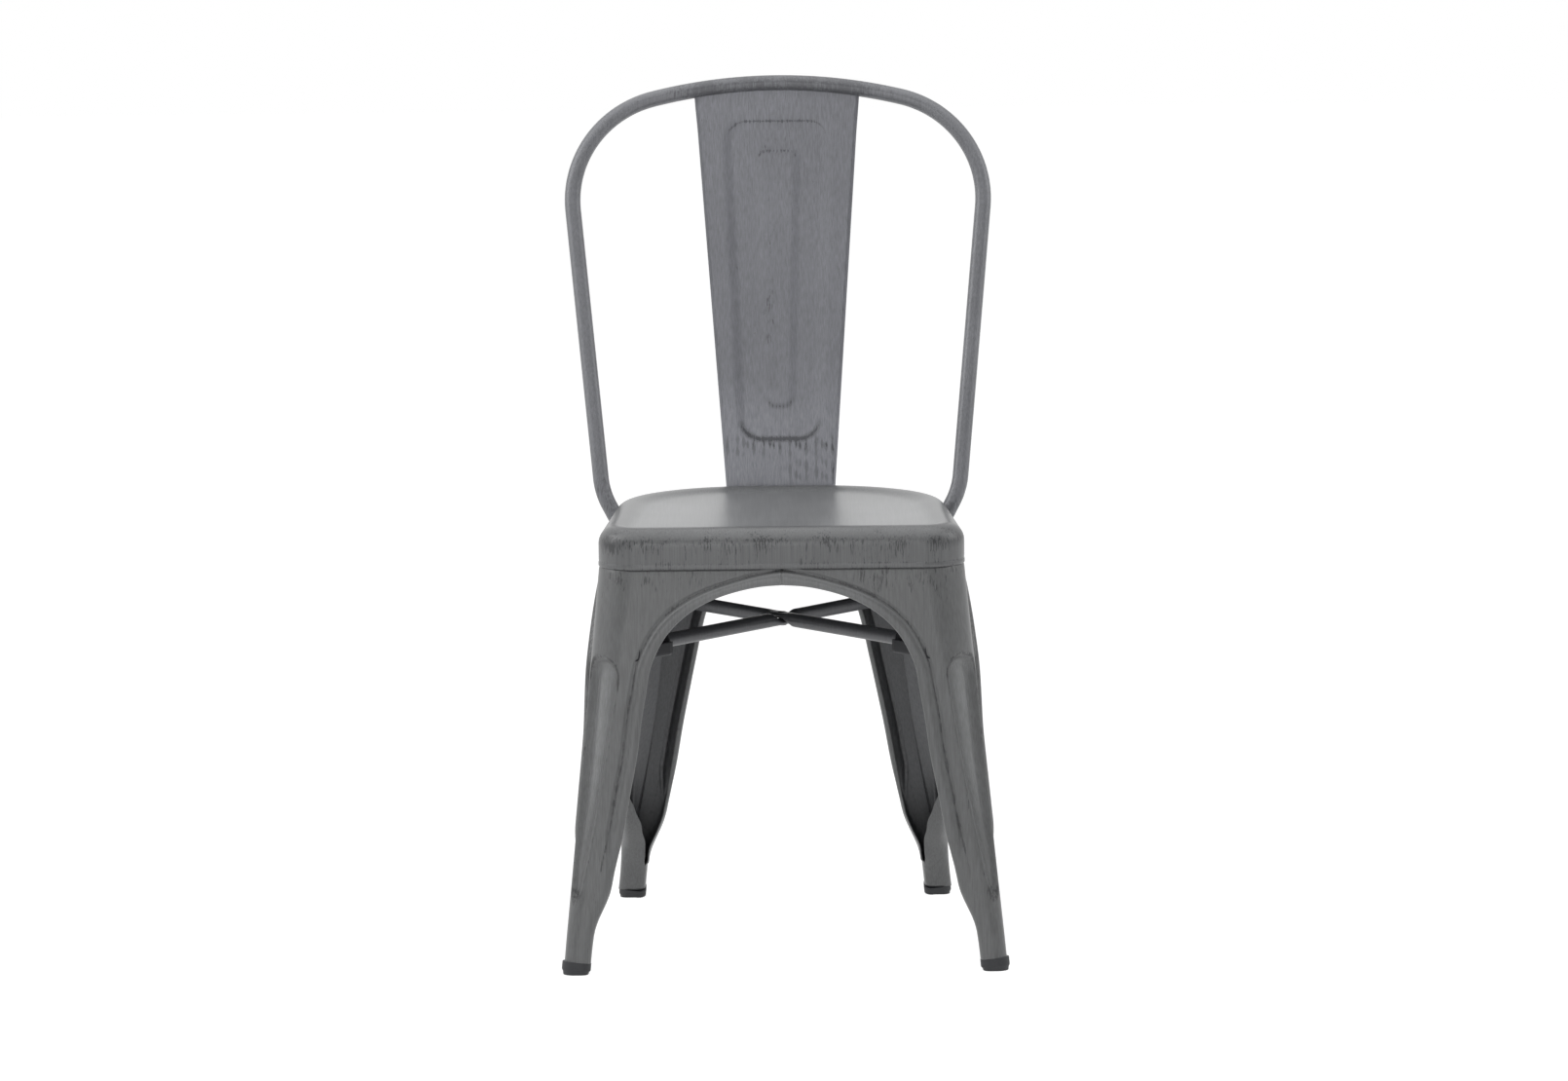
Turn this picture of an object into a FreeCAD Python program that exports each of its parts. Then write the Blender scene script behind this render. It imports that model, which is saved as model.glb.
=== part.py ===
import FreeCAD, Part
import Sketcher
import math
import os

# Metal bistro chair: four pressed sheet legs, a dished seat pan with a rolled edge,
# a bent tube back hoop with a pressed splat, and a crossed tube brace under the seat.
# The origin is on the floor under the middle of the chair, +Z up, the front is -Y.

os.makedirs("parts", exist_ok=True)
doc = FreeCAD.newDocument("bistro_chair")
sheet = doc.addObject("Spreadsheet::Sheet", "dimensions")

dimensions = {
    # heights above the floor
    "skirt_bottom": 399.0,
    "seat_top": 439.5,
    "collar_top": 420.0,
    "knee_height": 36.0,
    "cap_height": 12.0,
    "brace_height": 322.0,
    "hoop_top": 850.0,
    # outline of the seat skirt
    "skirt_front": -225.5,
    "skirt_rear": 129.5,
    "skirt_front_half": 185.0,
    "skirt_rear_half": 160.0,
    "skirt_front_round": 42.0,
    "skirt_rear_round": 125.0,
    # outline of the legs at the knee
    "knee_front": -248.2,
    "knee_rear": 240.7,
    "knee_front_half": 218.8,
    "knee_rear_half": 169.0,
    "knee_round": 14.0,
    # outline of the feet on the floor
    "floor_front": -250.7,
    "floor_rear": 251.6,
    "floor_front_half": 222.3,
    "floor_rear_half": 173.0,
    # sheet and fits
    "sheet_wall": 1.2,
    "skirt_wall": 1.2,
    "collar_clear": 0.3,
    "side_seam": -14.0,
    # seat pan
    "seat_roll": 11.0,
    "seat_rim": 21.0,
    "seat_rim_slope": 5.0,
    "seat_dish": 4.0,
    "hem_height": 5.0,
    "hem_proud": 0.7,
    # leg arches
    "arch_crown": 384.6,
    "arch_crown_round": 160.0,
    "bead_width": 13.0,
    "bead_proud": 3.2,
    "bead_bottom": 62.0,
    "wing_knee": 31.0,
    "wing_shin": 44.0,
    "wing_mid": 54.0,
    "wing_haunch": 58.0,
    "shin_height": 96.0,
    "mid_height": 190.0,
    "haunch_height": 262.0,
    # pressed channel on each leg corner
    "channel_bottom": 72.0,
    "channel_top": 310.0,
    "channel_half_top": 27.0,
    "channel_half_bottom": 12.0,
    "channel_depth": 4.0,
    # foot tubes and rubber caps
    "foot_size": 28.5,
    "foot_round": 13.5,
    "foot_wall": 1.5,
    "cap_proud": 0.3,
    "cap_pad": 4.0,
    "cap_pad_inset": 2.5,
    "plug_clear": 0.3,
    "plug_height": 10.0,
    # back hoop
    "hoop_tube": 16.0,
    "hoop_wall": 1.5,
    "hoop_crown_round": 560.0,
    "hoop_crown_turn": 12.0,
    "hoop_corner_round": 121.0,
    "hoop_side_lean": 5.4,
    "hoop_waist": 446.0,
    "hoop_bend_level": 456.0,
    "hoop_waist_round": 75.0,
    "hoop_waist_turn": 22.0,
    "hoop_end": 376.0,
    "hoop_top_back": 182.0,
    "hoop_waist_back": 52.0,
    "hoop_fit": 0.3,
    # back splat
    "splat_wall": 1.4,
    "splat_bottom": 404.0,
    "splat_bend": 428.0,
    "splat_top": 837.0,
    "splat_half_bottom": 54.0,
    "splat_half_top": 84.4,
    "splat_lean": 6.6,
    "splat_fit": 0.1,
    "panel_bottom": 484.0,
    "panel_top": 804.0,
    "panel_half_bottom": 41.5,
    "panel_half_top": 52.5,
    "panel_depth": 2.2,
    "rib_bottom": 517.0,
    "rib_top": 774.0,
    "rib_half_bottom": 13.0,
    "rib_half_top": 22.0,
    # crossed brace
    "brace_tube": 14.0,
    "brace_wall": 1.5,
    "brace_cross_back": -26.5,
    "brace_spread": 0.75,
    "brace_front_half": 114.0,
    "brace_rear_half": 104.0,
    "brace_lap": 13.0,
    "pin_size": 6.0,
    "pin_head": 11.0,
    "pin_head_high": 2.4,
    "pin_clear": 0.1,
    # brace brackets
    "bracket_width": 18.0,
    "bracket_high": 19.0,
    "bracket_wall": 1.6,
    "bracket_grip": 5.0,
    "bracket_reach": 95.0,
    "bracket_fit": 0.05,
    "bracket_slack": 0.2,
    # seam straps under the seat
    "strap_width": 46.0,
    "strap_high": 14.0,
    "strap_wall": 1.5,
    "strap_rise": 4.0,
}

for row, (name, value) in enumerate(dimensions.items(), start=1):
    sheet.set("A%d" % row, name)
    sheet.set("B%d" % row, str(value))
    sheet.setAlias("B%d" % row, name)
doc.recompute()


def size(name):
    return float(sheet.get(name))


def vec(x, y, z):
    return FreeCAD.Vector(x, y, z)


UP = vec(0, 0, 1)


def mirrored(shape):
    return shape.mirror(vec(0, 0, 0), vec(1, 0, 0))


# Sections of the base
def rounded_outline(corners, rounds, level):
    """Closed wire through four corners, each rounded, at one level."""
    edges = []
    ends = []
    for index in range(4):
        here = corners[index]
        before = (corners[index - 1] - here).normalize()
        after = (corners[(index + 1) % 4] - here).normalize()
        half = before.getAngle(after) / 2.0
        reach = rounds[index] / math.tan(half)
        middle = (before + after).normalize()
        far = rounds[index] / math.sin(half) - rounds[index]
        ends.append((here + before * reach, here + middle * far, here + after * reach))
    for index in range(4):
        start, through, stop = ends[index]
        edges.append(Part.Arc(start, through, stop).toShape())
        edges.append(Part.LineSegment(stop, ends[(index + 1) % 4][0]).toShape())
    wire = Part.Wire(edges)
    wire.translate(vec(0, 0, level))
    return wire


def trapezoid(front, rear, front_half, rear_half, front_round, rear_round, inset, level):
    """Rounded outline of the base, drawn in by an inset."""
    lean = math.hypot(1.0, (front_half - rear_half) / (rear - front))
    shift = (front_half - rear_half) / (rear - front) * inset
    fore = front_half - inset * lean - shift
    aft = rear_half - inset * lean + shift
    corners = [
        vec(fore, front + inset, 0),
        vec(aft, rear - inset, 0),
        vec(-aft, rear - inset, 0),
        vec(-fore, front + inset, 0),
    ]
    fore_round = max(front_round - inset, 1.0)
    aft_round = max(rear_round - inset, 1.0)
    return rounded_outline(corners, [fore_round, aft_round, aft_round, fore_round], level)


def skirt_outline(inset, level):
    return trapezoid(
        size("skirt_front"), size("skirt_rear"),
        size("skirt_front_half"), size("skirt_rear_half"),
        size("skirt_front_round"), size("skirt_rear_round"),
        inset, level,
    )


def knee_outline(inset):
    return trapezoid(
        size("knee_front"), size("knee_rear"),
        size("knee_front_half"), size("knee_rear_half"),
        size("knee_round"), size("knee_round"),
        inset, size("knee_height"),
    )


def prism(wire, height):
    return Part.Face(wire).extrude(UP * height)


def base_solid(inset):
    """Everything inside the pressed base, drawn in by an inset."""
    tuck = size("skirt_wall") + size("collar_clear")
    top = skirt_outline(tuck + inset, size("skirt_bottom"))
    flare = Part.makeLoft([knee_outline(inset), top], True, True)
    collar = prism(top, size("collar_top") - size("skirt_bottom"))
    return flare.fuse(collar)


def mix(low, high, level):
    """Value at a level on the straight line from the knee to the skirt."""
    part = (level - size("knee_height")) / (size("skirt_bottom") - size("knee_height"))
    return low + (high - low) * part


def front_line(level):
    tuck = size("skirt_wall") + size("collar_clear")
    return mix(size("knee_front"), size("skirt_front") + tuck, level)


def rear_line(level):
    tuck = size("skirt_wall") + size("collar_clear")
    return mix(size("knee_rear"), size("skirt_rear") - tuck, level)


def front_half(level):
    tuck = size("skirt_wall") + size("collar_clear")
    return mix(size("knee_front_half"), size("skirt_front_half") - tuck, level)


def rear_half(level):
    tuck = size("skirt_wall") + size("collar_clear")
    return mix(size("knee_rear_half"), size("skirt_rear_half") - tuck, level)


# Arch openings between the legs
WING_STEPS = [
    ("knee_height", "wing_knee"),
    ("shin_height", "wing_shin"),
    ("mid_height", "wing_mid"),
    ("haunch_height", "wing_haunch"),
]


def arch_side(outer, middle, grow):
    """Points up one side of an arch, from the knee to the crown arc."""
    points = []
    for level_name, wing_name in WING_STEPS:
        level = size(level_name)
        wing = size(wing_name) - grow
        sign = 1.0 if outer(level) > middle else -1.0
        points.append((outer(level) - sign * wing, level))
    return points


def crown_points(middle, grow, spread):
    """Points over the crown of an arch, spread to each side of its middle."""
    curve = size("arch_crown_round") + grow
    top = size("arch_crown") + grow
    points = []
    for part in (-1.0, -0.5, 0.0, 0.5, 1.0):
        across = part * spread
        drop = curve - math.sqrt(curve * curve - across * across)
        points.append((middle + across, top - drop))
    return points


def arch_outline(low, high, middle, grow, spread):
    """Closed outline of an arch as (across, level) pairs turned to a face maker."""
    left = arch_side(low, middle, grow)
    right = arch_side(high, middle, grow)
    over = crown_points(middle, grow, spread)
    return left + over + list(reversed(right))


def arch_cutter(points, place, push):
    """Solid that opens an arch: a smooth curve closed below the floor."""
    curve_points = [place(across, level) for across, level in points]
    curve = Part.BSplineCurve()
    curve.interpolate(curve_points)
    first, last = points[0], points[-1]
    floor = -20.0
    low_first = place(first[0], floor)
    low_last = place(last[0], floor)
    edges = [
        curve.toShape(),
        Part.LineSegment(curve_points[-1], low_last).toShape(),
        Part.LineSegment(low_last, low_first).toShape(),
        Part.LineSegment(low_first, curve_points[0]).toShape(),
    ]
    return Part.Face(Part.Wire(edges)).extrude(push)


def front_arch(grow):
    points = arch_outline(lambda z: -front_half(z), front_half, 0.0, grow, 98.0)
    return arch_cutter(points, lambda a, z: vec(a, -330.0, z), vec(0, 300.0, 0))


def rear_arch(grow):
    points = arch_outline(lambda z: -rear_half(z), rear_half, 0.0, grow, 62.0)
    return arch_cutter(points, lambda a, z: vec(a, 30.0, z), vec(0, 300.0, 0))


def side_arch(grow):
    middle = size("side_seam")
    points = arch_outline(front_line, rear_line, middle, grow, 98.0)
    return arch_cutter(points, lambda a, z: vec(-300.0, a, z), vec(600.0, 0, 0))


# Pressed channel on the leg corners
def channel_cutter(corner_low, corner_high, outward, grow):
    """Long drop shape pushed into the corner of a leg along its diagonal."""
    bottom = size("channel_bottom") - grow
    top = size("channel_top") + grow
    along = (corner_high - corner_low).normalize()
    across = along.cross(outward).normalize()

    def on_axis(level):
        part = (level - corner_low.z) / (corner_high.z - corner_low.z)
        return corner_low + (corner_high - corner_low) * part

    wide = size("channel_half_top") + grow
    slim = size("channel_half_bottom") + grow
    shoulder = top - wide
    tip = bottom + 1.5 * slim
    waist = (shoulder + tip) / 2.0
    middle = (wide + slim) / 2.0 + 1.0
    right = [
        on_axis(bottom),
        on_axis(tip) + across * slim,
        on_axis(waist) + across * middle,
        on_axis(shoulder) + across * wide,
        on_axis(top),
    ]
    left = [
        on_axis(top),
        on_axis(shoulder) - across * wide,
        on_axis(waist) - across * middle,
        on_axis(tip) - across * slim,
        on_axis(bottom),
    ]
    curve = Part.BSplineCurve()
    curve.interpolate(right[:-1] + left[:-1], PeriodicFlag=True)
    face = Part.Face(Part.Wire([curve.toShape()]))
    face.translate(outward * 60.0)
    return face.extrude(outward * -120.0)


def corner_point(corner_x, corner_y, round_size, level, sign_y):
    """Middle of a rounded corner, for the right side."""
    back = round_size * (1.0 - math.sqrt(0.5))
    return vec(corner_x - back, corner_y - sign_y * back, level)


def leg_shape(is_front):
    """One pressed leg of the right side."""
    wall = size("sheet_wall")
    outer = base_solid(0.0)
    inner = base_solid(wall)
    seam = size("side_seam")
    high = 500.0
    if is_front:
        keep = Part.makeBox(400.0, 400.0 + seam, high, vec(0, -400.0, 0))
        sign = -1.0
        low_x, low_y = size("knee_front_half"), size("knee_front")
        low_round = size("knee_round")
        top_level = size("skirt_bottom")
        high_x, high_y = front_half(top_level), front_line(top_level)
        high_round = size("skirt_front_round")
        arch, plain_arch = front_arch, front_arch
    else:
        keep = Part.makeBox(400.0, 400.0 - seam, high, vec(0, seam, 0))
        sign = 1.0
        low_x, low_y = size("knee_rear_half"), size("knee_rear")
        low_round = size("knee_round")
        top_level = size("skirt_bottom")
        high_x, high_y = rear_half(top_level), rear_line(top_level)
        high_round = size("skirt_rear_round")
        arch, plain_arch = rear_arch, rear_arch
    outward = vec(1, sign, 0).normalize()
    low = corner_point(low_x, low_y, low_round, size("knee_height"), sign)
    top = corner_point(high_x, high_y, high_round, top_level, sign)
    openings = arch(0.0).fuse(side_arch(0.0))
    wide_openings = arch(size("bead_width")).fuse(side_arch(size("bead_width")))

    skin = outer.cut(inner).common(keep)
    depth = size("channel_depth")
    drop = channel_cutter(low, top, outward, 0.0)
    drop_wide = channel_cutter(low, top, outward, wall)
    sunk = base_solid(depth)
    sunk_inner = base_solid(depth + wall)
    quarter = drop_wide.common(keep)
    wall_ring = outer.cut(sunk_inner).common(quarter).cut(drop)
    floor = sunk.cut(sunk_inner).common(quarter)
    skin = skin.cut(drop_wide).fuse([wall_ring, floor])

    proud = base_solid(-size("bead_proud"))
    band = proud.cut(inner).common(keep).common(wide_openings)
    trim_low = Part.makeBox(900, 900, size("bead_bottom"), vec(-450, -450, 0))
    trim_high = Part.makeBox(900, 900, 100.0, vec(-450, -450, size("skirt_bottom") - 0.6))
    band = band.cut(trim_low).cut(trim_high)
    leg = skin.fuse(band).cut(openings)

    foot = foot_tube(is_front)
    leg = leg.fuse(foot).removeSplitter()
    return leg


# Foot tubes and caps
def foot_corner(is_front, level):
    """Outer corner of a foot, on the line from the knee to the floor."""
    part = level / size("knee_height")
    if is_front:
        across = mix_between("floor_front_half", "knee_front_half", part)
        along = mix_between("floor_front", "knee_front", part)
    else:
        across = mix_between("floor_rear_half", "knee_rear_half", part)
        along = mix_between("floor_rear", "knee_rear", part)
    return vec(across, along, 0)


def mix_between(low_name, high_name, part):
    return size(low_name) + (size(high_name) - size(low_name)) * part


def foot_outline(is_front, inset, level):
    """Nearly round section of a foot tube that runs on from the leg faces."""
    side = size("foot_size") - 2.0 * inset
    if is_front:
        corner = foot_corner(is_front, level) + vec(-inset, inset, 0)
        low = corner + vec(-side, 0, 0)
        corners = [corner, corner + vec(0, side, 0), low + vec(0, side, 0), low]
    else:
        corner = foot_corner(is_front, level) + vec(-inset, -inset, 0)
        low = corner + vec(-side, 0, 0)
        corners = [corner + vec(0, -side, 0), corner, low, low + vec(0, -side, 0)]
    bend = max(size("foot_round") - inset, 1.0)
    return rounded_outline(corners, [bend] * 4, level)


def foot_loft(is_front, inset_low, inset_high, low, high):
    wires = [foot_outline(is_front, inset_low, low), foot_outline(is_front, inset_high, high)]
    return Part.makeLoft(wires, True, True)


def foot_tube(is_front):
    low, high = size("cap_height"), size("knee_height")
    wall = size("foot_wall")
    return foot_loft(is_front, 0.0, 0.0, low, high).cut(
        foot_loft(is_front, wall, wall, low - 1.0, high + 1.0)
    )


def cap_shape(is_front):
    """Rubber cap: flat pad, tilted collar and a plug up inside the tube."""
    pad = size("cap_pad")
    top = size("cap_height")
    proud = size("cap_proud")
    low = foot_loft(is_front, size("cap_pad_inset"), -proud, 0.0, pad)
    collar = foot_loft(is_front, -proud, -proud, pad, top)
    inset = size("foot_wall") + size("plug_clear")
    plug = foot_loft(is_front, inset, inset, top, top + size("plug_height"))
    return low.fuse([collar, plug]).removeSplitter()


# Seat pan
def seat_shape():
    bottom = size("skirt_bottom")
    top = size("seat_top")
    wall = size("skirt_wall")
    roll = size("seat_roll")

    def crowned(inset, low, high, bend):
        block = prism(skirt_outline(inset, low), high - low)
        rim = [e for e in block.Edges if min(v.Z for v in e.Vertexes) > high - 0.01]
        return block.makeFillet(bend, rim)

    shell = crowned(0.0, bottom, top, roll)
    hollow = crowned(wall, bottom - 1.0, top - wall, roll - wall)
    rim = size("seat_rim")
    slope = size("seat_rim_slope")
    dish = size("seat_dish")
    cut = Part.makeLoft(
        [skirt_outline(rim + slope, top - dish), skirt_outline(rim, top + 0.01)], True, True
    )
    under = Part.makeLoft(
        [skirt_outline(rim + slope - wall, top - dish - wall), skirt_outline(rim - wall, top - wall + 0.01)],
        True, True,
    )
    pan = shell.cut(hollow).fuse(under.common(shell)).cut(cut)
    hem = prism(skirt_outline(-size("hem_proud"), bottom), size("hem_height"))
    hem = hem.cut(prism(skirt_outline(wall, bottom - 1.0), size("hem_height") + 2.0))
    return pan.fuse(hem).removeSplitter()


# Back hoop
def hoop_frame():
    """Origin and up direction of the leaning plane that holds the hoop."""
    low = vec(0, size("hoop_waist_back"), size("hoop_waist"))
    crown = size("hoop_top") - size("hoop_tube") / 2.0
    high = vec(0, size("hoop_top_back"), crown)
    return low, high, (high - low).normalize()


def hoop_runs():
    """Right half of the hoop centre line as straight and curved runs, from the crown down."""
    low, high, up = hoop_frame()
    runs = []
    place = high
    heading = 0.0
    bends = [
        (size("hoop_crown_round"), size("hoop_crown_turn")),
        (size("hoop_corner_round"), 90.0 + size("hoop_side_lean") - size("hoop_crown_turn")),
    ]

    def direction(angle):
        return vec(math.cos(angle), 0, 0) - up * math.sin(angle)

    def inward(angle):
        return vec(-math.sin(angle), 0, 0) - up * math.cos(angle)

    for bend, turn in bends:
        centre = place + inward(heading) * bend
        runs.append(("arc", place, direction(heading), centre, turn))
        heading += math.radians(turn)
        place = centre - inward(heading) * bend
    side = (place.z - size("hoop_bend_level")) / (up.z * math.sin(heading))
    runs.append(("line", place, direction(heading), None, side))
    place = place + direction(heading) * side
    bend, turn = size("hoop_waist_round"), size("hoop_waist_turn")
    centre = place + inward(heading) * bend
    runs.append(("arc", place, direction(heading), centre, turn))
    heading += math.radians(turn)
    place = centre - inward(heading) * bend
    rest = (place.z - size("hoop_end")) / (up.z * math.sin(heading))
    runs.append(("line", place, direction(heading), None, rest))
    return runs, up


def hoop_solid(radius):
    runs, up = hoop_runs()
    spin = vec(1, 0, 0).cross(up)
    solids = []
    for kind, place, heading, centre, amount in runs:
        face = Part.Face(Part.Wire([Part.Circle(place, heading, radius).toShape()]))
        if kind == "arc":
            solids.append(face.revolve(centre, spin * -1.0, amount))
        else:
            solids.append(face.extrude(heading * amount))
    half = solids[0].fuse(solids[1:])
    return half.fuse(mirrored(half)).removeSplitter()


# Back splat
def splat_place(across, level, out):
    """Point of the splat: up the skirt, then leaning back."""
    bend = size("splat_bend")
    base = size("skirt_rear") + size("hem_proud") + size("splat_fit")
    back = base
    if level > bend:
        back = base + (level - bend) * math.tan(math.radians(size("splat_lean")))
    return vec(across, back + out, level)


def splat_half(level):
    low, high = size("splat_bottom"), size("splat_top")
    part = (level - low) / (high - low)
    return size("splat_half_bottom") + part * (size("splat_half_top") - size("splat_half_bottom"))


def splat_block(half_of, low, high, front, back):
    """Sheet between two faces, following the splat from one level to another."""
    levels = [low]
    if low < size("splat_bend") < high:
        levels.append(size("splat_bend"))
    levels.append(high)
    blocks = []
    for bottom, top in zip(levels[:-1], levels[1:]):
        wires = []
        for level in (bottom, top):
            half = half_of(level)
            pts = [
                splat_place(-half, level, front),
                splat_place(half, level, front),
                splat_place(half, level, back),
                splat_place(-half, level, back),
            ]
            wires.append(Part.makePolygon(pts + [pts[0]]))
        blocks.append(Part.makeLoft(wires, True, True))
    shape = blocks[0]
    for block in blocks[1:]:
        shape = shape.fuse(block)
    return shape.removeSplitter()


def panel_half(low_name, high_name, half_low, half_high, grow):
    low, high = size(low_name), size(high_name)

    def half(level):
        part = (level - low) / (high - low)
        return size(half_low) + part * (size(half_high) - size(half_low)) + grow

    return half


def splat_shape():
    wall = size("splat_wall")
    depth = size("panel_depth")
    plate = splat_block(splat_half, size("splat_bottom"), size("splat_top"), 0.0, wall)
    panel = panel_half("panel_bottom", "panel_top", "panel_half_bottom", "panel_half_top", 0.0)
    panel_out = panel_half("panel_bottom", "panel_top", "panel_half_bottom", "panel_half_top", wall)
    low, high = size("panel_bottom"), size("panel_top")
    boss = splat_block(panel_out, low - wall, high + wall, 0.0, wall + depth)
    hollow = splat_block(panel, low, high, -1.0, depth)
    rib = panel_half("rib_bottom", "rib_top", "rib_half_bottom", "rib_half_top", 0.0)
    rib_in = panel_half("rib_bottom", "rib_top", "rib_half_bottom", "rib_half_top", -wall)
    low, high = size("rib_bottom"), size("rib_top")
    ridge = splat_block(rib, low, high, 0.0, wall + depth)
    ridge_hollow = splat_block(rib_in, low + wall, high - wall, wall, wall + depth + 1.0)
    shape = plate.fuse(boss).cut(hollow).fuse(ridge).cut(ridge_hollow)
    return shape.cut(hoop_solid(size("hoop_tube") / 2.0 + size("splat_fit")))


# Crossed brace
def brace_end(forward, sign):
    """End of a brace axis on one side."""
    reach = size("brace_front_half") if forward else size("brace_rear_half")
    along = -1.0 if forward else 1.0
    back = size("brace_cross_back") + along * reach / size("brace_spread")
    return vec(sign * reach, back, size("brace_height"))


def bracket_shape(forward, leg):
    """Folded channel that takes a brace end into the right leg."""
    sign = 1.0
    end = brace_end(forward, sign)
    middle = vec(0, size("brace_cross_back"), size("brace_height"))
    along = (end - middle).normalize()
    side = UP.cross(along)
    width, high, wall = size("bracket_width"), size("bracket_high"), size("bracket_wall")

    def bar(wide, low, top, begin):
        start = end - along * begin
        pts = [
            start + side * (wide / 2.0) + UP * low,
            start - side * (wide / 2.0) + UP * low,
            start - side * (wide / 2.0) + UP * top,
            start + side * (wide / 2.0) + UP * top,
        ]
        face = Part.Face(Part.makePolygon(pts + [pts[0]]))
        return face.extrude(along * (size("bracket_reach") + begin))

    grip = size("bracket_grip")
    top = size("brace_tube") / 2.0 + wall + size("bracket_slack")
    low = top - high
    channel = bar(width, low, top, grip).cut(bar(width - 2 * wall, low - 1.0, top - wall, grip + 1.0))
    channel = channel.common(base_solid(size("sheet_wall") + size("bracket_fit"))).cut(leg)
    return max(channel.Solids, key=lambda solid: solid.Volume)


# Pieces made of bound primitives and bodies
pieces = []


def bind(item, **rules):
    """Tie properties of an object to the sheet."""
    for name, rule in rules.items():
        item.setExpression(name, rule)


def place_by(item, x_rule, y_rule, z_rule):
    item.setExpression("Placement.Base.x", x_rule)
    item.setExpression("Placement.Base.y", y_rule)
    item.setExpression("Placement.Base.z", z_rule)


def keep(item, label):
    item.Label = label
    pieces.append(item)
    return item


def hoop_path():
    """Wire of half the hoop centre line."""
    runs, up = hoop_runs()
    spin = vec(1, 0, 0).cross(up) * -1.0
    edges = []
    for kind, place, heading, centre, amount in runs:
        if kind == "line":
            edges.append(Part.LineSegment(place, place + heading * amount).toShape())
            continue
        start = place - centre
        half = FreeCAD.Rotation(spin, amount / 2.0).multVec(start)
        whole = FreeCAD.Rotation(spin, amount).multVec(start)
        edges.append(Part.Arc(place, centre + half, centre + whole).toShape())
    return Part.Wire(edges)


def back_hoop():
    """Bent tube swept along half the hoop, mirrored, and trimmed where it meets the legs."""
    path = doc.addObject("Part::Feature", "hoop_path")
    path.Shape = hoop_path()
    runs = ["Edge%d" % (index + 1) for index in range(len(path.Shape.Edges))]
    halves = []
    for name, radius in (("outer", "dimensions.hoop_tube / 2"),
                         ("bore", "dimensions.hoop_tube / 2 - dimensions.hoop_wall")):
        ring = doc.addObject("Part::Circle", "hoop_ring_" + name)
        bind(ring, Radius=radius)
        ring.Placement = FreeCAD.Placement(vec(0, 0, 0), FreeCAD.Rotation(vec(0, 1, 0), 90))
        place_by(ring, "0", "dimensions.hoop_top_back",
                 "dimensions.hoop_top - dimensions.hoop_tube / 2")
        run = doc.addObject("Part::Sweep", "hoop_half_" + name)
        run.Sections = [ring]
        run.Spine = (path, runs)
        run.Solid = True
        run.Frenet = False
        halves.append(run)
    half = doc.addObject("Part::Cut", "hoop_half")
    half.Base, half.Tool = halves
    other = doc.addObject("Part::Mirroring", "hoop_other_half")
    other.Source = half
    other.Normal = (1, 0, 0)
    other.Base = (0, 0, 0)
    whole = doc.addObject("Part::Fuse", "hoop_whole")
    whole.Base, whole.Tool = half, other
    whole.Refine = True
    legs = doc.addObject("Part::Feature", "hoop_trim")
    legs.Shape = base_solid(-size("hoop_fit"))
    done = doc.addObject("Part::Cut", "back_hoop")
    done.Base, done.Tool = whole, legs
    return keep(done, "back_hoop")


def brace_run():
    """Rules for the length of a brace and for the y of its front end."""
    wide = "(dimensions.brace_front_half + dimensions.brace_rear_half)"
    length = wide + " * sqrt(1 + 1 / dimensions.brace_spread ^ 2)"
    front_y = "dimensions.brace_cross_back - dimensions.brace_front_half / dimensions.brace_spread"
    return length, front_y


def brace_tube(label, sign, upper):
    """One tube of the crossed brace, flattened to half where it meets the other."""
    length, front_y = brace_run()
    front = brace_end(True, sign)
    rear = brace_end(False, -sign)
    turn = FreeCAD.Rotation(UP, rear - front)
    solids = []
    for name, radius in (("outer", "dimensions.brace_tube / 2"),
                         ("bore", "dimensions.brace_tube / 2 - dimensions.brace_wall")):
        rod = doc.addObject("Part::Cylinder", label + "_" + name)
        bind(rod, Radius=radius, Height=length)
        rod.Placement = FreeCAD.Placement(vec(0, 0, 0), turn)
        place_by(rod, "%d * dimensions.brace_front_half" % sign, front_y, "dimensions.brace_height")
        solids.append(rod)
    outer, bore = solids
    crossing = doc.addObject("Part::Box", label + "_crossing")
    bind(crossing, Length="2 * dimensions.brace_lap + 3", Width="2 * dimensions.brace_lap + 3",
         Height="4 * dimensions.brace_tube")
    place_by(crossing, "-dimensions.brace_lap - 1.5",
             "dimensions.brace_cross_back - dimensions.brace_lap - 1.5",
             "dimensions.brace_height - 2 * dimensions.brace_tube")
    hollow = doc.addObject("Part::Cut", label + "_hollow")
    hollow.Base, hollow.Tool = bore, crossing
    tube = doc.addObject("Part::Cut", label + "_wall")
    tube.Base, tube.Tool = outer, hollow
    notch = doc.addObject("Part::Box", label + "_notch")
    bind(notch, Length="2 * dimensions.brace_lap", Width="2 * dimensions.brace_lap",
         Height="2 * dimensions.brace_tube")
    low = "dimensions.brace_height - 2 * dimensions.brace_tube" if upper else "dimensions.brace_height"
    place_by(notch, "-dimensions.brace_lap", "dimensions.brace_cross_back - dimensions.brace_lap", low)
    lapped = doc.addObject("Part::Cut", label + "_lapped")
    lapped.Base, lapped.Tool = tube, notch
    hole = doc.addObject("Part::Cylinder", label + "_hole")
    bind(hole, Radius="dimensions.pin_size / 2 + dimensions.pin_clear", Height="4 * dimensions.brace_tube")
    place_by(hole, "0", "dimensions.brace_cross_back",
             "dimensions.brace_height - 2 * dimensions.brace_tube")
    done = doc.addObject("Part::Cut", label)
    done.Base, done.Tool = lapped, hole
    return keep(done, label)


def origin_plane(body, role):
    return [f for f in body.Origin.OriginFeatures if f.Role == role][0]


def line(sketch, start, stop):
    return sketch.addGeometry(Part.LineSegment(vec(*start, 0), vec(*stop, 0)), False)


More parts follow.
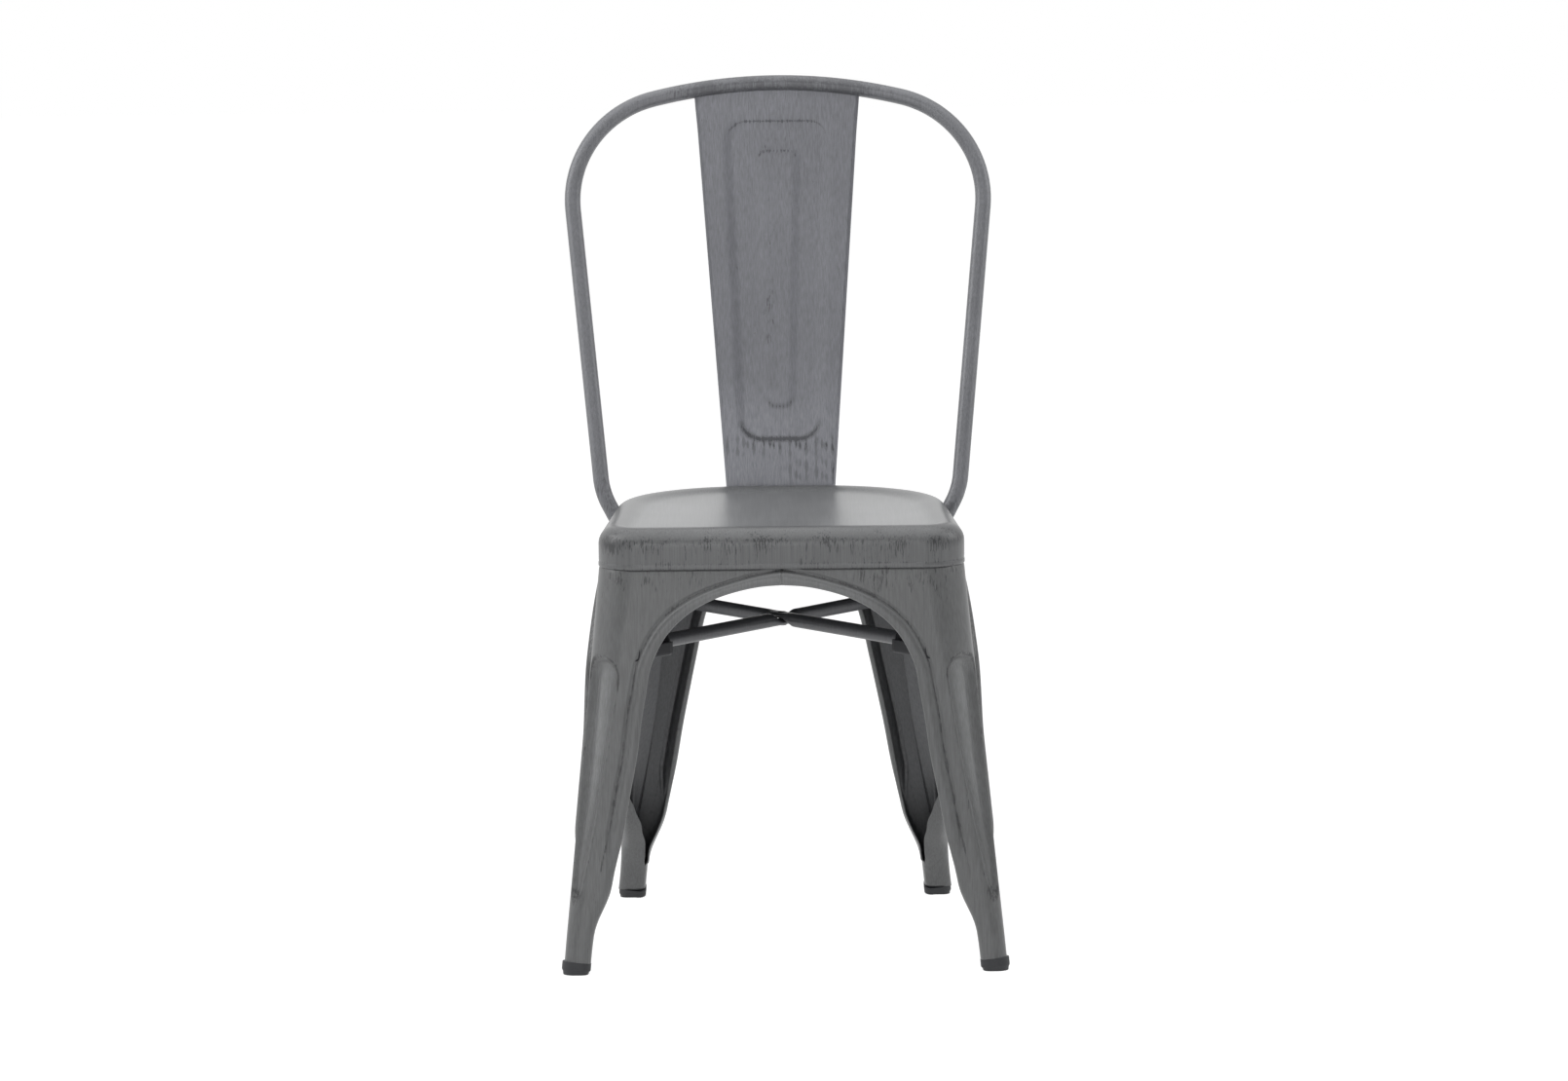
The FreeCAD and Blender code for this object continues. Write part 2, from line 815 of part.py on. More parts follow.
def brace_rivet():
    """Turned rivet through the crossing, with a head above and below."""
    body = doc.addObject("PartDesign::Body", "brace_rivet_body")
    sketch = body.newObject("Sketcher::SketchObject", "brace_rivet_profile")
    sketch.AttachmentSupport = [(origin_plane(body, "XZ_Plane"), "")]
    sketch.MapMode = "FlatFace"
    shank, head = size("pin_size") / 2.0, size("pin_head") / 2.0
    half, high = size("brace_tube") / 2.0, size("pin_head_high")
    corners = [(0, -half - high), (head, -half - high), (head, -half), (shank, -half),
               (shank, half), (head, half), (head, half + high), (0, half + high)]
    for index in range(8):
        line(sketch, corners[index], corners[(index + 1) % 8])
    for index in range(8):
        sketch.addConstraint(Sketcher.Constraint("Coincident", index, 2, (index + 1) % 8, 1))
    for index in (0, 2, 4, 6):
        sketch.addConstraint(Sketcher.Constraint("Horizontal", index))
    for index in (1, 3, 5):
        sketch.addConstraint(Sketcher.Constraint("Vertical", index))
    sketch.addConstraint(Sketcher.Constraint("PointOnObject", 0, 1, -2))
    sketch.addConstraint(Sketcher.Constraint("PointOnObject", 7, 1, -2))
    rules = [
        ("lower_head", "DistanceX", (0, 1, 0, 2), "dimensions.pin_head / 2"),
        ("upper_head", "DistanceX", (6, 2, 6, 1), "dimensions.pin_head / 2"),
        ("shank_radius", "DistanceX", (-1, 1, 3, 1), "dimensions.pin_size / 2"),
        ("lower_face", "DistanceY", (3, 1, -1, 1), "dimensions.brace_tube / 2"),
        ("upper_face", "DistanceY", (-1, 1, 3, 2), "dimensions.brace_tube / 2"),
        ("lower_high", "DistanceY", (1, 1, 1, 2), "dimensions.pin_head_high"),
        ("upper_high", "DistanceY", (5, 1, 5, 2), "dimensions.pin_head_high"),
    ]
    for name, kind, ends, rule in rules:
        number = sketch.addConstraint(Sketcher.Constraint(kind, *ends, 1.0))
        sketch.renameConstraint(number, name)
    for name, kind, ends, rule in rules:
        sketch.setExpression("Constraints." + name, rule)
    spin = body.newObject("PartDesign::Revolution", "brace_rivet_turned")
    spin.Profile = sketch
    spin.ReferenceAxis = (sketch, ["V_Axis"])
    spin.Angle = 360.0
    place_by(body, "0", "dimensions.brace_cross_back", "dimensions.brace_height")
    return keep(body, "brace_rivet")


def seam_strap(label, wide, deep, x_rule, y_rule, turn):
    """Flat strip across the seam where two leg wings meet under the seat."""
    strip = doc.addObject("Part::Box", label)
    bind(strip, Length=wide, Width=deep, Height="dimensions.strap_high")
    strip.Placement = FreeCAD.Placement(vec(0, 0, 0), FreeCAD.Rotation(UP, turn))
    place_by(strip, x_rule, y_rule, "dimensions.skirt_bottom + dimensions.strap_rise")
    return keep(strip, label)


def seam_straps():
    tuck = "(dimensions.skirt_wall + dimensions.collar_clear + dimensions.sheet_wall)"
    middle = "-dimensions.strap_width / 2"
    seam_strap("front_seam_strap", "dimensions.strap_width", "dimensions.strap_wall",
               middle, "dimensions.skirt_front + " + tuck, 0.0)
    seam_strap("rear_seam_strap", "dimensions.strap_width", "dimensions.strap_wall",
               middle, "dimensions.skirt_rear - " + tuck + " - dimensions.strap_wall", 0.0)
    run = size("skirt_rear") - size("skirt_front")
    fall = (size("skirt_front_half") - size("skirt_rear_half")) / run
    angle = math.degrees(math.atan(fall))
    lean = math.hypot(1.0, fall)
    inset = size("skirt_wall") + size("collar_clear") + size("sheet_wall")
    face = size("skirt_front_half") - fall * (size("side_seam") - size("skirt_front"))
    face -= inset * lean
    half = size("strap_width") / 2.0
    turned = math.radians(angle)
    deep = size("strap_wall")
    for label, sign in (("right_seam_strap", 1.0), ("left_seam_strap", -1.0)):
        strip = doc.addObject("Part::Box", label)
        bind(strip, Length="dimensions.strap_wall", Width="dimensions.strap_width",
             Height="dimensions.strap_high")
        start = vec(sign * face, size("side_seam"), size("skirt_bottom") + size("strap_rise"))
        back = vec(sign * -math.sin(turned), math.cos(turned), 0) * -half
        inward = vec(-math.cos(turned), sign * -math.sin(turned), 0) * deep
        corner = start + back
        if sign > 0:
            corner = corner + inward
        strip.Placement = FreeCAD.Placement(corner, FreeCAD.Rotation(UP, sign * angle))
        keep(strip, label)




def add(label, shape, placement=None):
    item = doc.addObject("Part::Feature", label)
    item.Label = label
    item.Shape = shape
    if placement is not None:
        item.Placement = placement
    pieces.append(item)
    return item


add("seat_pan", seat_shape())
for front in (True, False):
    end = "front" if front else "rear"
    leg = leg_shape(front)
    cap = cap_shape(front)
    bracket = bracket_shape(front, leg)
    for hand in ("right", "left"):
        turn = (lambda s: s) if hand == "right" else mirrored
        add("%s_%s_leg" % (end, hand), turn(leg))
        add("%s_%s_foot_cap" % (end, hand), turn(cap))
        add("%s_%s_brace_bracket" % (end, hand), turn(bracket))
back_hoop()
add("back_splat", splat_shape())
brace_tube("upper_brace_tube", 1, True)
brace_tube("lower_brace_tube", -1, False)
brace_rivet()
seam_straps()

doc.recompute()
for item in pieces:
    if "Invalid" in item.State or "Error" in item.State:
        raise RuntimeError("piece failed: " + item.Label)
    if item.Shape.isNull() or not item.Shape.isValid():
        raise RuntimeError("bad shape: " + item.Label)
    print(item.Label, len(item.Shape.Solids), round(item.Shape.Volume), item.Shape.BoundBox)
    item.Shape.exportStep("parts/%s.step" % item.Label)
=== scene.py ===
import math
import bpy
from mathutils import Matrix, Vector


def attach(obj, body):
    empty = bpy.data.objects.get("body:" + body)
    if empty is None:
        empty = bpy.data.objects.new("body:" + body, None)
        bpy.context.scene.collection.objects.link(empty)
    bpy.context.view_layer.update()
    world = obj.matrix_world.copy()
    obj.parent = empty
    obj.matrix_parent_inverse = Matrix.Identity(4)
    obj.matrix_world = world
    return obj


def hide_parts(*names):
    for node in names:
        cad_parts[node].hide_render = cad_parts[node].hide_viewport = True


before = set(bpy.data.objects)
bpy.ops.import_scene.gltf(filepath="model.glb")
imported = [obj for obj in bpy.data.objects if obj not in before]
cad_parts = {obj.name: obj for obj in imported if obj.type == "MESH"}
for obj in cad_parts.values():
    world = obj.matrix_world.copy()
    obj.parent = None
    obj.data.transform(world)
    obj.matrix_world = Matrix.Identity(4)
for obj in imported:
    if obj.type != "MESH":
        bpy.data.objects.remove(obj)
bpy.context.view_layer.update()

MM = 0.001

# Sizes in millimetres, the same as the frame's
KNEE, SKIRT, SEAM = 36.0, 399.0, -14.0
SHEET, SPLAT_SHEET, BRACKET_SHEET = 1.2, 1.4, 1.6
# Pairs hold the value at the knee and the value at the skirt of the seat
FRONT_LINE = (-248.2, -224.0)
REAR_LINE = (240.7, 128.0)
FRONT_HALF = (217.6, 183.1)
REAR_HALF = (163.2, 158.5)
FRONT_ROUND = (14.0, 40.5)
REAR_ROUND = (14.0, 123.5)
# The rear feet splay out a little more than the legs above them
REAR_SPLAY, SPLAY_FADE = 6.9, 48.0
# Below this level the sheet's outward direction turns level, so that the foot's folds stay above the floor
FLOOR_CLEAR, FLOOR_EASE = 15.0, 40.0


def between(pair, level):
    """Value of a pair at a level of the leg."""
    part = min((level - KNEE) / (SKIRT - KNEE), 1.0)
    value = pair[0] + (pair[1] - pair[0]) * part
    if pair is REAR_HALF:
        value += REAR_SPLAY * math.exp(-max(level, 0.0) / SPLAY_FADE)
    return value


def smooth(value):
    """Eased step from 0 to 1."""
    value = min(max(value, 0.0), 1.0)
    return value * value * (3.0 - 2.0 * value)


def close_to(value, middle, spread):
    """1 at the middle, falling away on both sides of it."""
    return math.exp(-((value - middle) / spread) ** 2)


def read_table(table, value, eased=True):
    """Amount at a value, from a short table of (value, amount), eased or straight between its rows."""
    if value <= table[0][0]:
        return table[0][1]
    for (low, first), (high, second) in zip(table, table[1:]):
        if value <= high:
            share = (value - low) / (high - low)
            return first + (second - first) * (smooth(share) if eased else share)
    return table[-1][1]


# Materials
def linear(code):
    """sRGB hex to a linear colour."""
    parts = [int(code[i:i + 2], 16) / 255.0 for i in (1, 3, 5)]
    return [p / 12.92 if p <= 0.04045 else ((p + 0.055) / 1.055) ** 2.4 for p in parts] + [1.0]


def node(tree, kind, settings=None, links=None):
    """Add a node with its settings and links. A link from a node is from its first output."""
    made = tree.nodes.new("ShaderNode" + kind)
    for name, value in (settings or {}).items():
        if isinstance(name, int) or name in made.inputs:
            made.inputs[name].default_value = value
        else:
            setattr(made, name, value)
    for name, source in (links or {}).items():
        socket = source.outputs[0] if isinstance(source, bpy.types.Node) else source
        tree.links.new(socket, made.inputs[name])
    return made


def empty_tree(owner):
    """Node tree of a material or a world, with nothing in it."""
    owner.use_nodes = True
    owner.node_tree.nodes.clear()
    return owner.node_tree


WHITE = [1.0, 1.0, 1.0, 1.0]
# How far the tone of the lacquer drifts over a hand's breadth, and how far apart the brush marks gather
CLOUD_MM, GATHER_MM = 70.0, 20.0


def brushed_lacquer(name, ground, shade, dark_glaze, rough, streak_mm, darkening):
    """Gunmetal lacquer brushed by hand over steel: fine long streaks, dark glaze strokes, painted shade in
    the creases and paler painted highlights.

    The streaks are drawn about three times as wide as a brush leaves them, so that they show in the render.
    """
    material = bpy.data.materials.new(name)
    tree = empty_tree(material)
    coords = node(tree, "TexCoord")
    place = coords.outputs["Object"]
    facing = node(tree, "SeparateXYZ", None, {0: coords.outputs["Normal"]})
    flat = node(tree, "Math", {"operation": "ABSOLUTE"}, {0: facing.outputs[2]})
    flat = node(tree, "MapRange", {1: 0.45, 2: 0.8}, {0: flat})
    fine = 1.0 / (streak_mm * MM)

    def brushed(across, along):
        """Noise drawn out along the brush: up and down the walls, front to back on flat tops."""
        ways = []
        for scale in ((across, across, along), (across, along, across)):
            drawn = node(tree, "Mapping", {"Scale": scale}, {"Vector": place})
            ways.append(node(tree, "TexNoise", {"Scale": 1.0, "Detail": 4.0, "Roughness": 0.62},
                             {"Vector": drawn}))
        upright, lying = ways
        return node(tree, "Mix", {"data_type": "FLOAT"},
                    {0: flat, 2: upright, 3: lying}).outputs[0]

    # the two tones of the streaks, over a slow drift of tone
    grain = brushed(fine, fine / 60.0)
    streak = node(tree, "MapRange", {1: 0.32, 2: 0.68}, {0: grain})
    cloud = node(tree, "TexNoise", {"Scale": 1.0 / (CLOUD_MM * MM), "Detail": 2.0}, {"Vector": place})
    tone = node(tree, "MapRange", {1: 0.3, 2: 0.7, 3: 0.94, 4: 1.06}, {0: cloud})
    base = node(tree, "Mix", {"data_type": "RGBA", 6: linear(shade), 7: linear(ground)}, {0: streak})
    base = node(tree, "VectorMath", {"operation": "SCALE"}, {0: base.outputs[2], 3: tone})
    # the mesh's number of glaze and painted light: below 0 the colour is painted paler as highlight and
    # reflection, above 0 dark strokes and painted shade gather
    glaze = node(tree, "Attribute", {"attribute_name": "glaze"}).outputs["Fac"]
    # painted light: below 0 the base colour is raised up to 1.6 times, as painted highlight and reflection
    painted_light_gain = node(tree, "MapRange", {1: -1.0, 2: 0.0, 3: 1.6, 4: 1.0}, {0: glaze})
    base = node(tree, "VectorMath", {"operation": "SCALE"}, {0: base, 3: painted_light_gain})
    stroke = brushed(fine * 0.75, fine / 11.0)
    patch = node(tree, "TexNoise", {"Scale": 1.0 / (GATHER_MM * MM), "Detail": 3.0}, {"Vector": place})
    gather = node(tree, "Math", {"operation": "MULTIPLY_ADD", 1: 0.55}, {0: patch, 2: stroke})
    gather = node(tree, "Math", {"operation": "MULTIPLY_ADD", 1: 0.2}, {0: glaze, 2: gather})
    strokes = node(tree, "MapRange", {1: 0.97, 2: 1.07}, {0: gather})
    # a high number turns the colour dark: settled glaze, and painted shade
    settled_glaze_and_shade = node(tree, "MapRange", {1: 0.9, 2: 2.0, 4: 0.8}, {0: glaze})
    marks = node(tree, "Math", {"operation": "MAXIMUM"}, {0: strokes, 1: settled_glaze_and_shade})
    marks = node(tree, "Math", {"operation": "MULTIPLY", 1: darkening}, {0: marks})
    colour = node(tree, "Mix", {"data_type": "RGBA", 7: linear(dark_glaze)}, {0: marks, 6: base})
    dull = node(tree, "MapRange", {3: rough - 0.05, 4: rough + 0.07}, {0: grain})
    bump = node(tree, "Bump", {"Strength": 0.12, "Distance": 0.0004}, {"Height": grain})
    paint = node(tree, "BsdfPrincipled", {"Metallic": 0.15},
                 {"Base Color": colour.outputs[2], "Roughness": dull, "Normal": bump})
    node(tree, "OutputMaterial", None, {0: paint})
    return material


def moulded_rubber():
    """Moulded black rubber: matt, with a faint grainy skin, drawn coarser than the mould leaves it."""
    material = bpy.data.materials.new("moulded black rubber")
    tree = empty_tree(material)
    grain_mm = 1.4
    place = node(tree, "TexCoord").outputs["Object"]
    grain = node(tree, "TexNoise", {"Scale": 1.0 / (grain_mm * MM), "Detail": 3.0}, {"Vector": place})
    colour = node(tree, "Mix", {"data_type": "RGBA", 6: linear("#26272a"), 7: linear("#36373a")},
                  {0: grain})
    dull = node(tree, "MapRange", {3: 0.5, 4: 0.68}, {0: grain})
    bump = node(tree, "Bump", {"Strength": 0.25, "Distance": 0.0003}, {"Height": grain})
    skin = node(tree, "BsdfPrincipled", {"IOR": 1.5},
                {"Base Color": colour.outputs[2], "Roughness": dull, "Normal": bump})
    node(tree, "OutputMaterial", None, {0: skin})
    return material


# A cool, pale grey with a silky sheen and few dark strokes
SPLAT_LACQUER = brushed_lacquer("brushed gunmetal lacquer, back",
                                "#7f8086", "#67686d", "#3a3b3f", 0.34, 1.1, 0.75)
# A warmer grey that mirrors the splat softly, with black strokes along its roll
SEAT_LACQUER = brushed_lacquer("brushed gunmetal lacquer, seat",
                               "#6d6e6f", "#5b5c5d", "#303032", 0.34, 1.1, 0.75)
# The same grey, brushed up and down, with black lines in the creases, partly painted shade, and paler painted
# highlights
LEG_LACQUER = brushed_lacquer("brushed gunmetal lacquer, legs",
                              "#6b6c6d", "#5c5d5d", "#313132", 0.36, 1.3, 0.7)
# A cool grey, lightly streaked, that gives the round tube its long soft highlight
TUBE_LACQUER = brushed_lacquer("brushed gunmetal lacquer, tube",
                               "#808185", "#6d6e72", "#3a3b3e", 0.34, 1.2, 0.5)
# Tubes under the seat, painted darker than the hoop: painted shade from the seat above them
SHADED_BRACE_LACQUER = brushed_lacquer("brushed gunmetal lacquer, brace, painted shade",
                                "#56575a", "#46474a", "#28292b", 0.38, 1.2, 0.5)
# Small fittings under the seat, painted nearly black and dull: painted shade
SHADED_DARK_LACQUER = brushed_lacquer("dark gunmetal lacquer, fittings, painted shade",
                               "#1d1e23", "#18191d", "#121314", 0.58, 1.4, 0.6)
# The undersides of the sheets: dull and dark grey, painted shade for the dim insides of the legs and under
# the seat
SHADED_INSIDE_LACQUER = brushed_lacquer("gunmetal lacquer, inside, painted shade",
                                 "#4b4c4e", "#3c3d3f", "#28292a", 0.42, 1.6, 0.6)
RUBBER = moulded_rubber()


# Making meshes
def make_piece(name, points, faces, material, slot_name, nodes, thick=0.0, smooth_angle=40.0,
               glaze=None, inside=None):
    """Mesh in metres that rides on the chair and stands for the named nodes."""
    mesh = bpy.data.meshes.new(name)
    mesh.from_pydata([tuple(p * MM for p in point) for point in points], [], faces)
    mesh.update()
    piece = bpy.data.objects.new(name, mesh)
    bpy.context.scene.collection.objects.link(piece)
    mesh.materials.append(material)
    for face in mesh.polygons:
        face.use_smooth = True
    mesh.set_sharp_from_angle(angle=math.radians(smooth_angle))
    if glaze:
        layer = mesh.attributes.new("glaze", "FLOAT", "POINT")
        layer.data.foreach_set("value", glaze)
    if thick:
        wall = piece.modifiers.new("sheet", "SOLIDIFY")
        wall.thickness = thick * MM
        wall.offset = -1.0
        wall.use_even_offset = False
        if inside:
            mesh.materials.append(inside)
            wall.material_offset = 1
    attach(piece, "root")
    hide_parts(*nodes)
    return piece


def grid_faces(rows, closed=False):
    """Faces between rows of point numbers."""
    faces = []
    for low, high in zip(rows, rows[1:]):
        count = len(low)
        for i in range(count if closed else count - 1):
            j = (i + 1) % count
            faces.append((low[i], low[j], high[j], high[i]))
    return faces


def rows_mesh(lines, closed=False, ends=False):
    """Points and faces through lines of points that all have the same count, with flat ends where asked."""
    count = len(lines[0])
    points = [point for line in lines for point in line]
    rows = [list(range(i * count, (i + 1) * count)) for i in range(len(lines))]
    faces = grid_faces(rows, closed)
    if ends:
        faces.append(tuple(reversed(rows[0])))
        faces.append(tuple(rows[-1]))
    return points, faces


def flipped(faces):
    return [tuple(reversed(face)) for face in faces]


def outward(points, faces, centre):
    """The faces, turned so that they look away from the centre."""
    a, b, c = (Vector(points[i]) for i in faces[len(faces) // 3][:3])
    way = (b - a).cross(c - a)
    return faces if way.dot(a - Vector(centre)) > 0.0 else flipped(faces)


def make_pair(end, form, node_name, points, faces, material, slot_name, **finish):
    """The right-hand piece of one end of the chair, and its mirror image on the left."""
    mirrored = [(-x, y, z) for x, y, z in points]
    for hand, own_points, own_faces in (("_right_", points, faces), ("_left_", mirrored, flipped(faces))):
        make_piece(end + hand + form, own_points, own_faces, material, slot_name,
                   [end + hand + node_name], **finish)


# Points round a tube
RING = 32


def oval(middle, side, rise, wide, high):
    """Ring of points round the middle of a tube, in the plane of two directions."""
    angles = [2.0 * math.pi * k / RING for k in range(RING)]
    return [tuple(middle + side * (wide * math.cos(angle)) + rise * (high * math.sin(angle)))
            for angle in angles]


def tube_faces(points, faces):
    """Outward faces of a tube made of ovals."""
    first = faces[len(faces) // 3][0] // RING * RING
    return outward(points, faces, (Vector(points[first]) + Vector(points[first + RING // 2])) * 0.5)


# Outline of the base at a level
class Corner:
    """Front or rear right corner of the base: a rounded corner between two straight faces."""

    def __init__(self, is_front):
        self.is_front = is_front

    def shape(self, level):
        """Tip, directions of both faces, bend radius, reach, half turn, middle direction and bend centre."""
        fore, aft = between(FRONT_LINE, level), between(REAR_LINE, level)
        wide, slim = between(FRONT_HALF, level), between(REAR_HALF, level)
        fall = (wide - slim) / (aft - fore)
        part = min(max((level - KNEE) / (SKIRT - KNEE), 0.0), 1.0)
        face_way = Vector((-1.0, 0.0))
        if self.is_front:
            tip = Vector((wide, fore))
            side_way = Vector((-fall, 1.0)).normalized()
            small, large = FRONT_ROUND
        else:
            tip = Vector((slim, aft))
            side_way = Vector((fall, -1.0)).normalized()
            small, large = REAR_ROUND
        bend = small + (large - small) * part
        half = face_way.angle(side_way) / 2.0
        reach = bend / math.tan(half)
        turn = math.pi / 2.0 - half
        middle = (face_way + side_way).normalized()
        centre = tip + middle * (bend / math.sin(half))
        return tip, face_way, side_way, bend, reach, turn, middle, centre

    def place(self, run, level):
        """Point on the outline, a run along it from the middle of the corner (side wing positive)."""
        tip, face_way, side_way, bend, reach, turn, middle, centre = self.shape(level)
        arc = bend * turn
        if run < -arc:
            spot = tip + face_way * (reach - arc - run)
        elif run > arc:
            spot = tip + side_way * (reach - arc + run)
        else:
            angle = run / bend
            across = Vector((-middle.y, middle.x))
            if across.dot(side_way) < 0.0:
                across = -across
            spot = centre - middle * (bend * math.cos(angle)) + across * (bend * math.sin(angle))
        return Vector((spot.x, spot.y, level))

    def run_of(self, value, level, on_face):
        """Run at which the outline passes an x (face wing) or a y (side wing)."""
        tip, face_way, side_way, bend, reach, turn, middle, centre = self.shape(level)
        arc = bend * turn
        sign = -1.0 if on_face else 1.0

        def straight_part(x, y):
            return tip.x - x if on_face else (y - tip.y) / side_way.y

        straight = straight_part(value, value)
        if straight >= reach:
            return sign * (arc + straight - reach)
        low, high = 0.0, arc
        for _ in range(30):
            mid = (low + high) / 2.0
            spot = self.place(sign * mid, level)
            if straight_part(spot.x, spot.y) < straight:
                low = mid
            else:
                high = mid
        return sign * low

    def out(self, run, level):
        """Outward direction of the sheet."""
        step = 0.6
        spot = self.place(run, level)
        along = self.place(run + step, level) - self.place(run - step, level)
        up = self.place(run, level + 1.0) - self.place(run, max(level - 1.0, 1.0))
        way = along.cross(up)
        way.normalize()
        way.z *= smooth((level - FLOOR_CLEAR) / FLOOR_EASE)
        way.normalize()
        centre = self.shape(level)[7]
        if way.x * (spot.x - centre.x + 1e-6) + way.y * (spot.y - centre.y) < 0.0:
            way = -way
        return way


# Edges of the leg wings, as (level, wing width) and, over the crown, (level, across)
UPPER_WING = [(72, 38.6), (82, 41.4), (96, 43.4), (116, 46.2), (136, 49.0), (176, 52.6), (215, 56.4),
              (251, 57.9), (280, 60.2)]
FRONT_WING = [(12, 27.6), (29, 28.0), (43, 29.2), (53, 31.6), (62, 34.9)] + UPPER_WING
FRONT_CROWN = [(300, 130.8), (318, 123.6), (335, 113.4), (350, 99.0), (362, 82.0), (371, 63.0),
               (377.4, 42.0), (381.4, 21.0), (382.8, 0.0)]
REAR_WING = [(12, 26.4), (30, 26.2), (45, 26.8), (56, 29.4), (66, 33.2), (84.5, 40.6), (104, 45.3),
             (143, 52.8), (185, 59.3), (227, 66.9), (262, 73.5)]
REAR_CROWN = [(290, 81.0), (315, 74.0), (337, 64.0), (355, 50.0), (369, 33.0), (379, 16.0), (384.6, 0.0)]
SIDE_WING = [(12, 26.4), (29, 26.8), (43, 28.2), (53, 30.6), (62, 34.2)] + UPPER_WING
# Side arch over its crown, as (level, share of the way from the seam to the top of the wing's edge)
SIDE_CROWN = [(302, 1.0), (322, 0.93), (340, 0.835), (354, 0.72), (366, 0.58), (375, 0.42), (381.5, 0.23),
              (384.6, 0.0)]
SIDE_START = 0.55


def spline(points):
    """Smooth open curve through points, with the length run at each of its own points."""
    pieces = 24
    dense = []
    last = len(points) - 1
    for i in range(last):
        before, here = points[max(i - 1, 0)], points[i]
        after, beyond = points[i + 1], points[min(i + 2, last)]
        for k in range(pieces):
            f = k / pieces
            dense.append(tuple(
                0.5 * (2 * q + (-p + r) * f + (2 * p - 5 * q + 4 * r - s) * f * f
                       + (-p + 3 * q - 3 * r + s) * f ** 3)
                for p, q, r, s in zip(before, here, after, beyond)))
    dense.append(points[-1])
    return dense, run_lengths(dense)


def run_lengths(line):
    runs = [0.0]
    for a, b in zip(line, line[1:]):
        runs.append(runs[-1] + math.dist(a, b))
    return runs


def at_run(curve, run):
    """Point of a curve a run along it."""
    line, runs = curve
    run = min(max(run, 0.0), runs[-1])
    low, high = 0, len(runs) - 1
    while high - low > 1:
        mid = (low + high) // 2
        if runs[mid] <= run:
            low = mid
        else:
            high = mid
    span = runs[high] - runs[low]
    f = (run - runs[low]) / span if span else 0.0
    return tuple(a + (b - a) * f for a, b in zip(line[low], line[high]))


def run_at_level(curve, level):
    line, runs = curve
    for a, b, first, second in zip(line, line[1:], runs, runs[1:]):
        if a[1] <= level <= b[1] and b[1] > a[1]:
            return first + (second - first) * (level - a[1]) / (b[1] - a[1])
    return runs[-1]


def even(line, count):
    """Points along a short path, evenly spread by length."""
    curve = (line, run_lengths(line))
    return [at_run(curve, curve[1][-1] * k / (count - 1)) for k in range(count)]


def wing_edge(is_front, on_face):
    """Edge of one wing from the floor to the crown, as (across, level)."""
    if on_face:
        wing, crown = (FRONT_WING, FRONT_CROWN) if is_front else (REAR_WING, REAR_CROWN)
        half = FRONT_HALF if is_front else REAR_HALF
        points = [(between(half, level) - width, level) for level, width in wing]
        return points + [(across, level) for level, across in crown]
    line = FRONT_LINE if is_front else REAR_LINE
    sign = 1.0 if is_front else -1.0
    points = [(between(line, level) + sign * width, level) for level, width in SIDE_WING]
    start = points[-1][0] + (points[-1][0] - points[-2][0]) * SIDE_START
    return points + [(SEAM + (start - SEAM) * share, level) for level, share in SIDE_CROWN]


# Rolled edge across the wing: (distance from the edge, height off the sheet)
ROLL = [(6.2, -5.2), (4.2, -6.2), (2.0, -5.2), (0.5, -3.0), (0.0, -0.6), (0.4, 1.4), (1.7, 2.8), (3.8, 3.5),
        (6.5, 3.7), (9.2, 3.3), (11.4, 2.4), (13.0, 1.0), (14.1, -0.7), (15.2, -1.4), (16.5, -0.9),
        (18.2, 0.0)]
# The roll's share of its full height, by level, and the least share of its curl behind the sheet
ROLL_FADE = [(40, 0.0), (62, 0.12), (84, 0.5), (110, 0.85), (140, 1.0)]
LEAST_CURL = 0.4
# The fold at the foot passes into the roll over these levels
ROLL_START, ROLL_EASE = 84.0, 60.0
FOOT, FRONT_FOOT, FOOT_BEND = 26.4, 27.6, 9.0
# How deep the folded edge of a wing reaches behind it, how sharply it turns and the bend at its tip, by level
FLANGE = [(12, FOOT), (33, FOOT), (48, FOOT), (62, 25.6), (78, 22.5), (100, 17.5), (120, 12.0), (144, 6.0)]
FLANGE_BEND = [(36, FOOT_BEND), (62, 9.5), (90, 8.0), (130, 3.4)]
FLANGE_END = [(33, FOOT_BEND), (50, 3.0), (62, 0.6)]
# The flange curls back towards the edge from this level up, by a share of its reach
CURL_START, CURL_EASE, CURL = 42.0, 24.0, 0.32

# The pressed drop on the corner: ends, half width at its round top, half widths below, depth, edge width
DROP_LOW, DROP_HIGH, DROP_ROUND = 72.0, 312.0, 21.0
DROP_HALF = [(72, 0.0), (77, 4.0), (86, 6.6), (110, 9.6), (150, 13.4), (197, 17.0), (250, 19.6),
             (291, DROP_ROUND)]
DROP_SHALLOW, DROP_DEEPER = 4.6, 5.0
DROP_EDGE_OUT, DROP_EDGE = 2.0, 7.0


def drop_inside(run, level):
    """Distance inside the outline of the pressed drop, negative outside it."""
    shoulder = DROP_HIGH - DROP_ROUND
    if level > shoulder:
        return DROP_ROUND - math.hypot(run, level - shoulder)
    if level < DROP_LOW:
        return -math.hypot(run, DROP_LOW - level)
    return read_table(DROP_HALF, level, eased=False) - abs(run)


def drop_depth(run, level):
    """Depth of the pressed drop at a place on the corner."""
    deep = DROP_SHALLOW + DROP_DEEPER * smooth((level - 80.0) / 140.0)
    return deep * smooth((drop_inside(run, level) + DROP_EDGE_OUT) / DROP_EDGE)


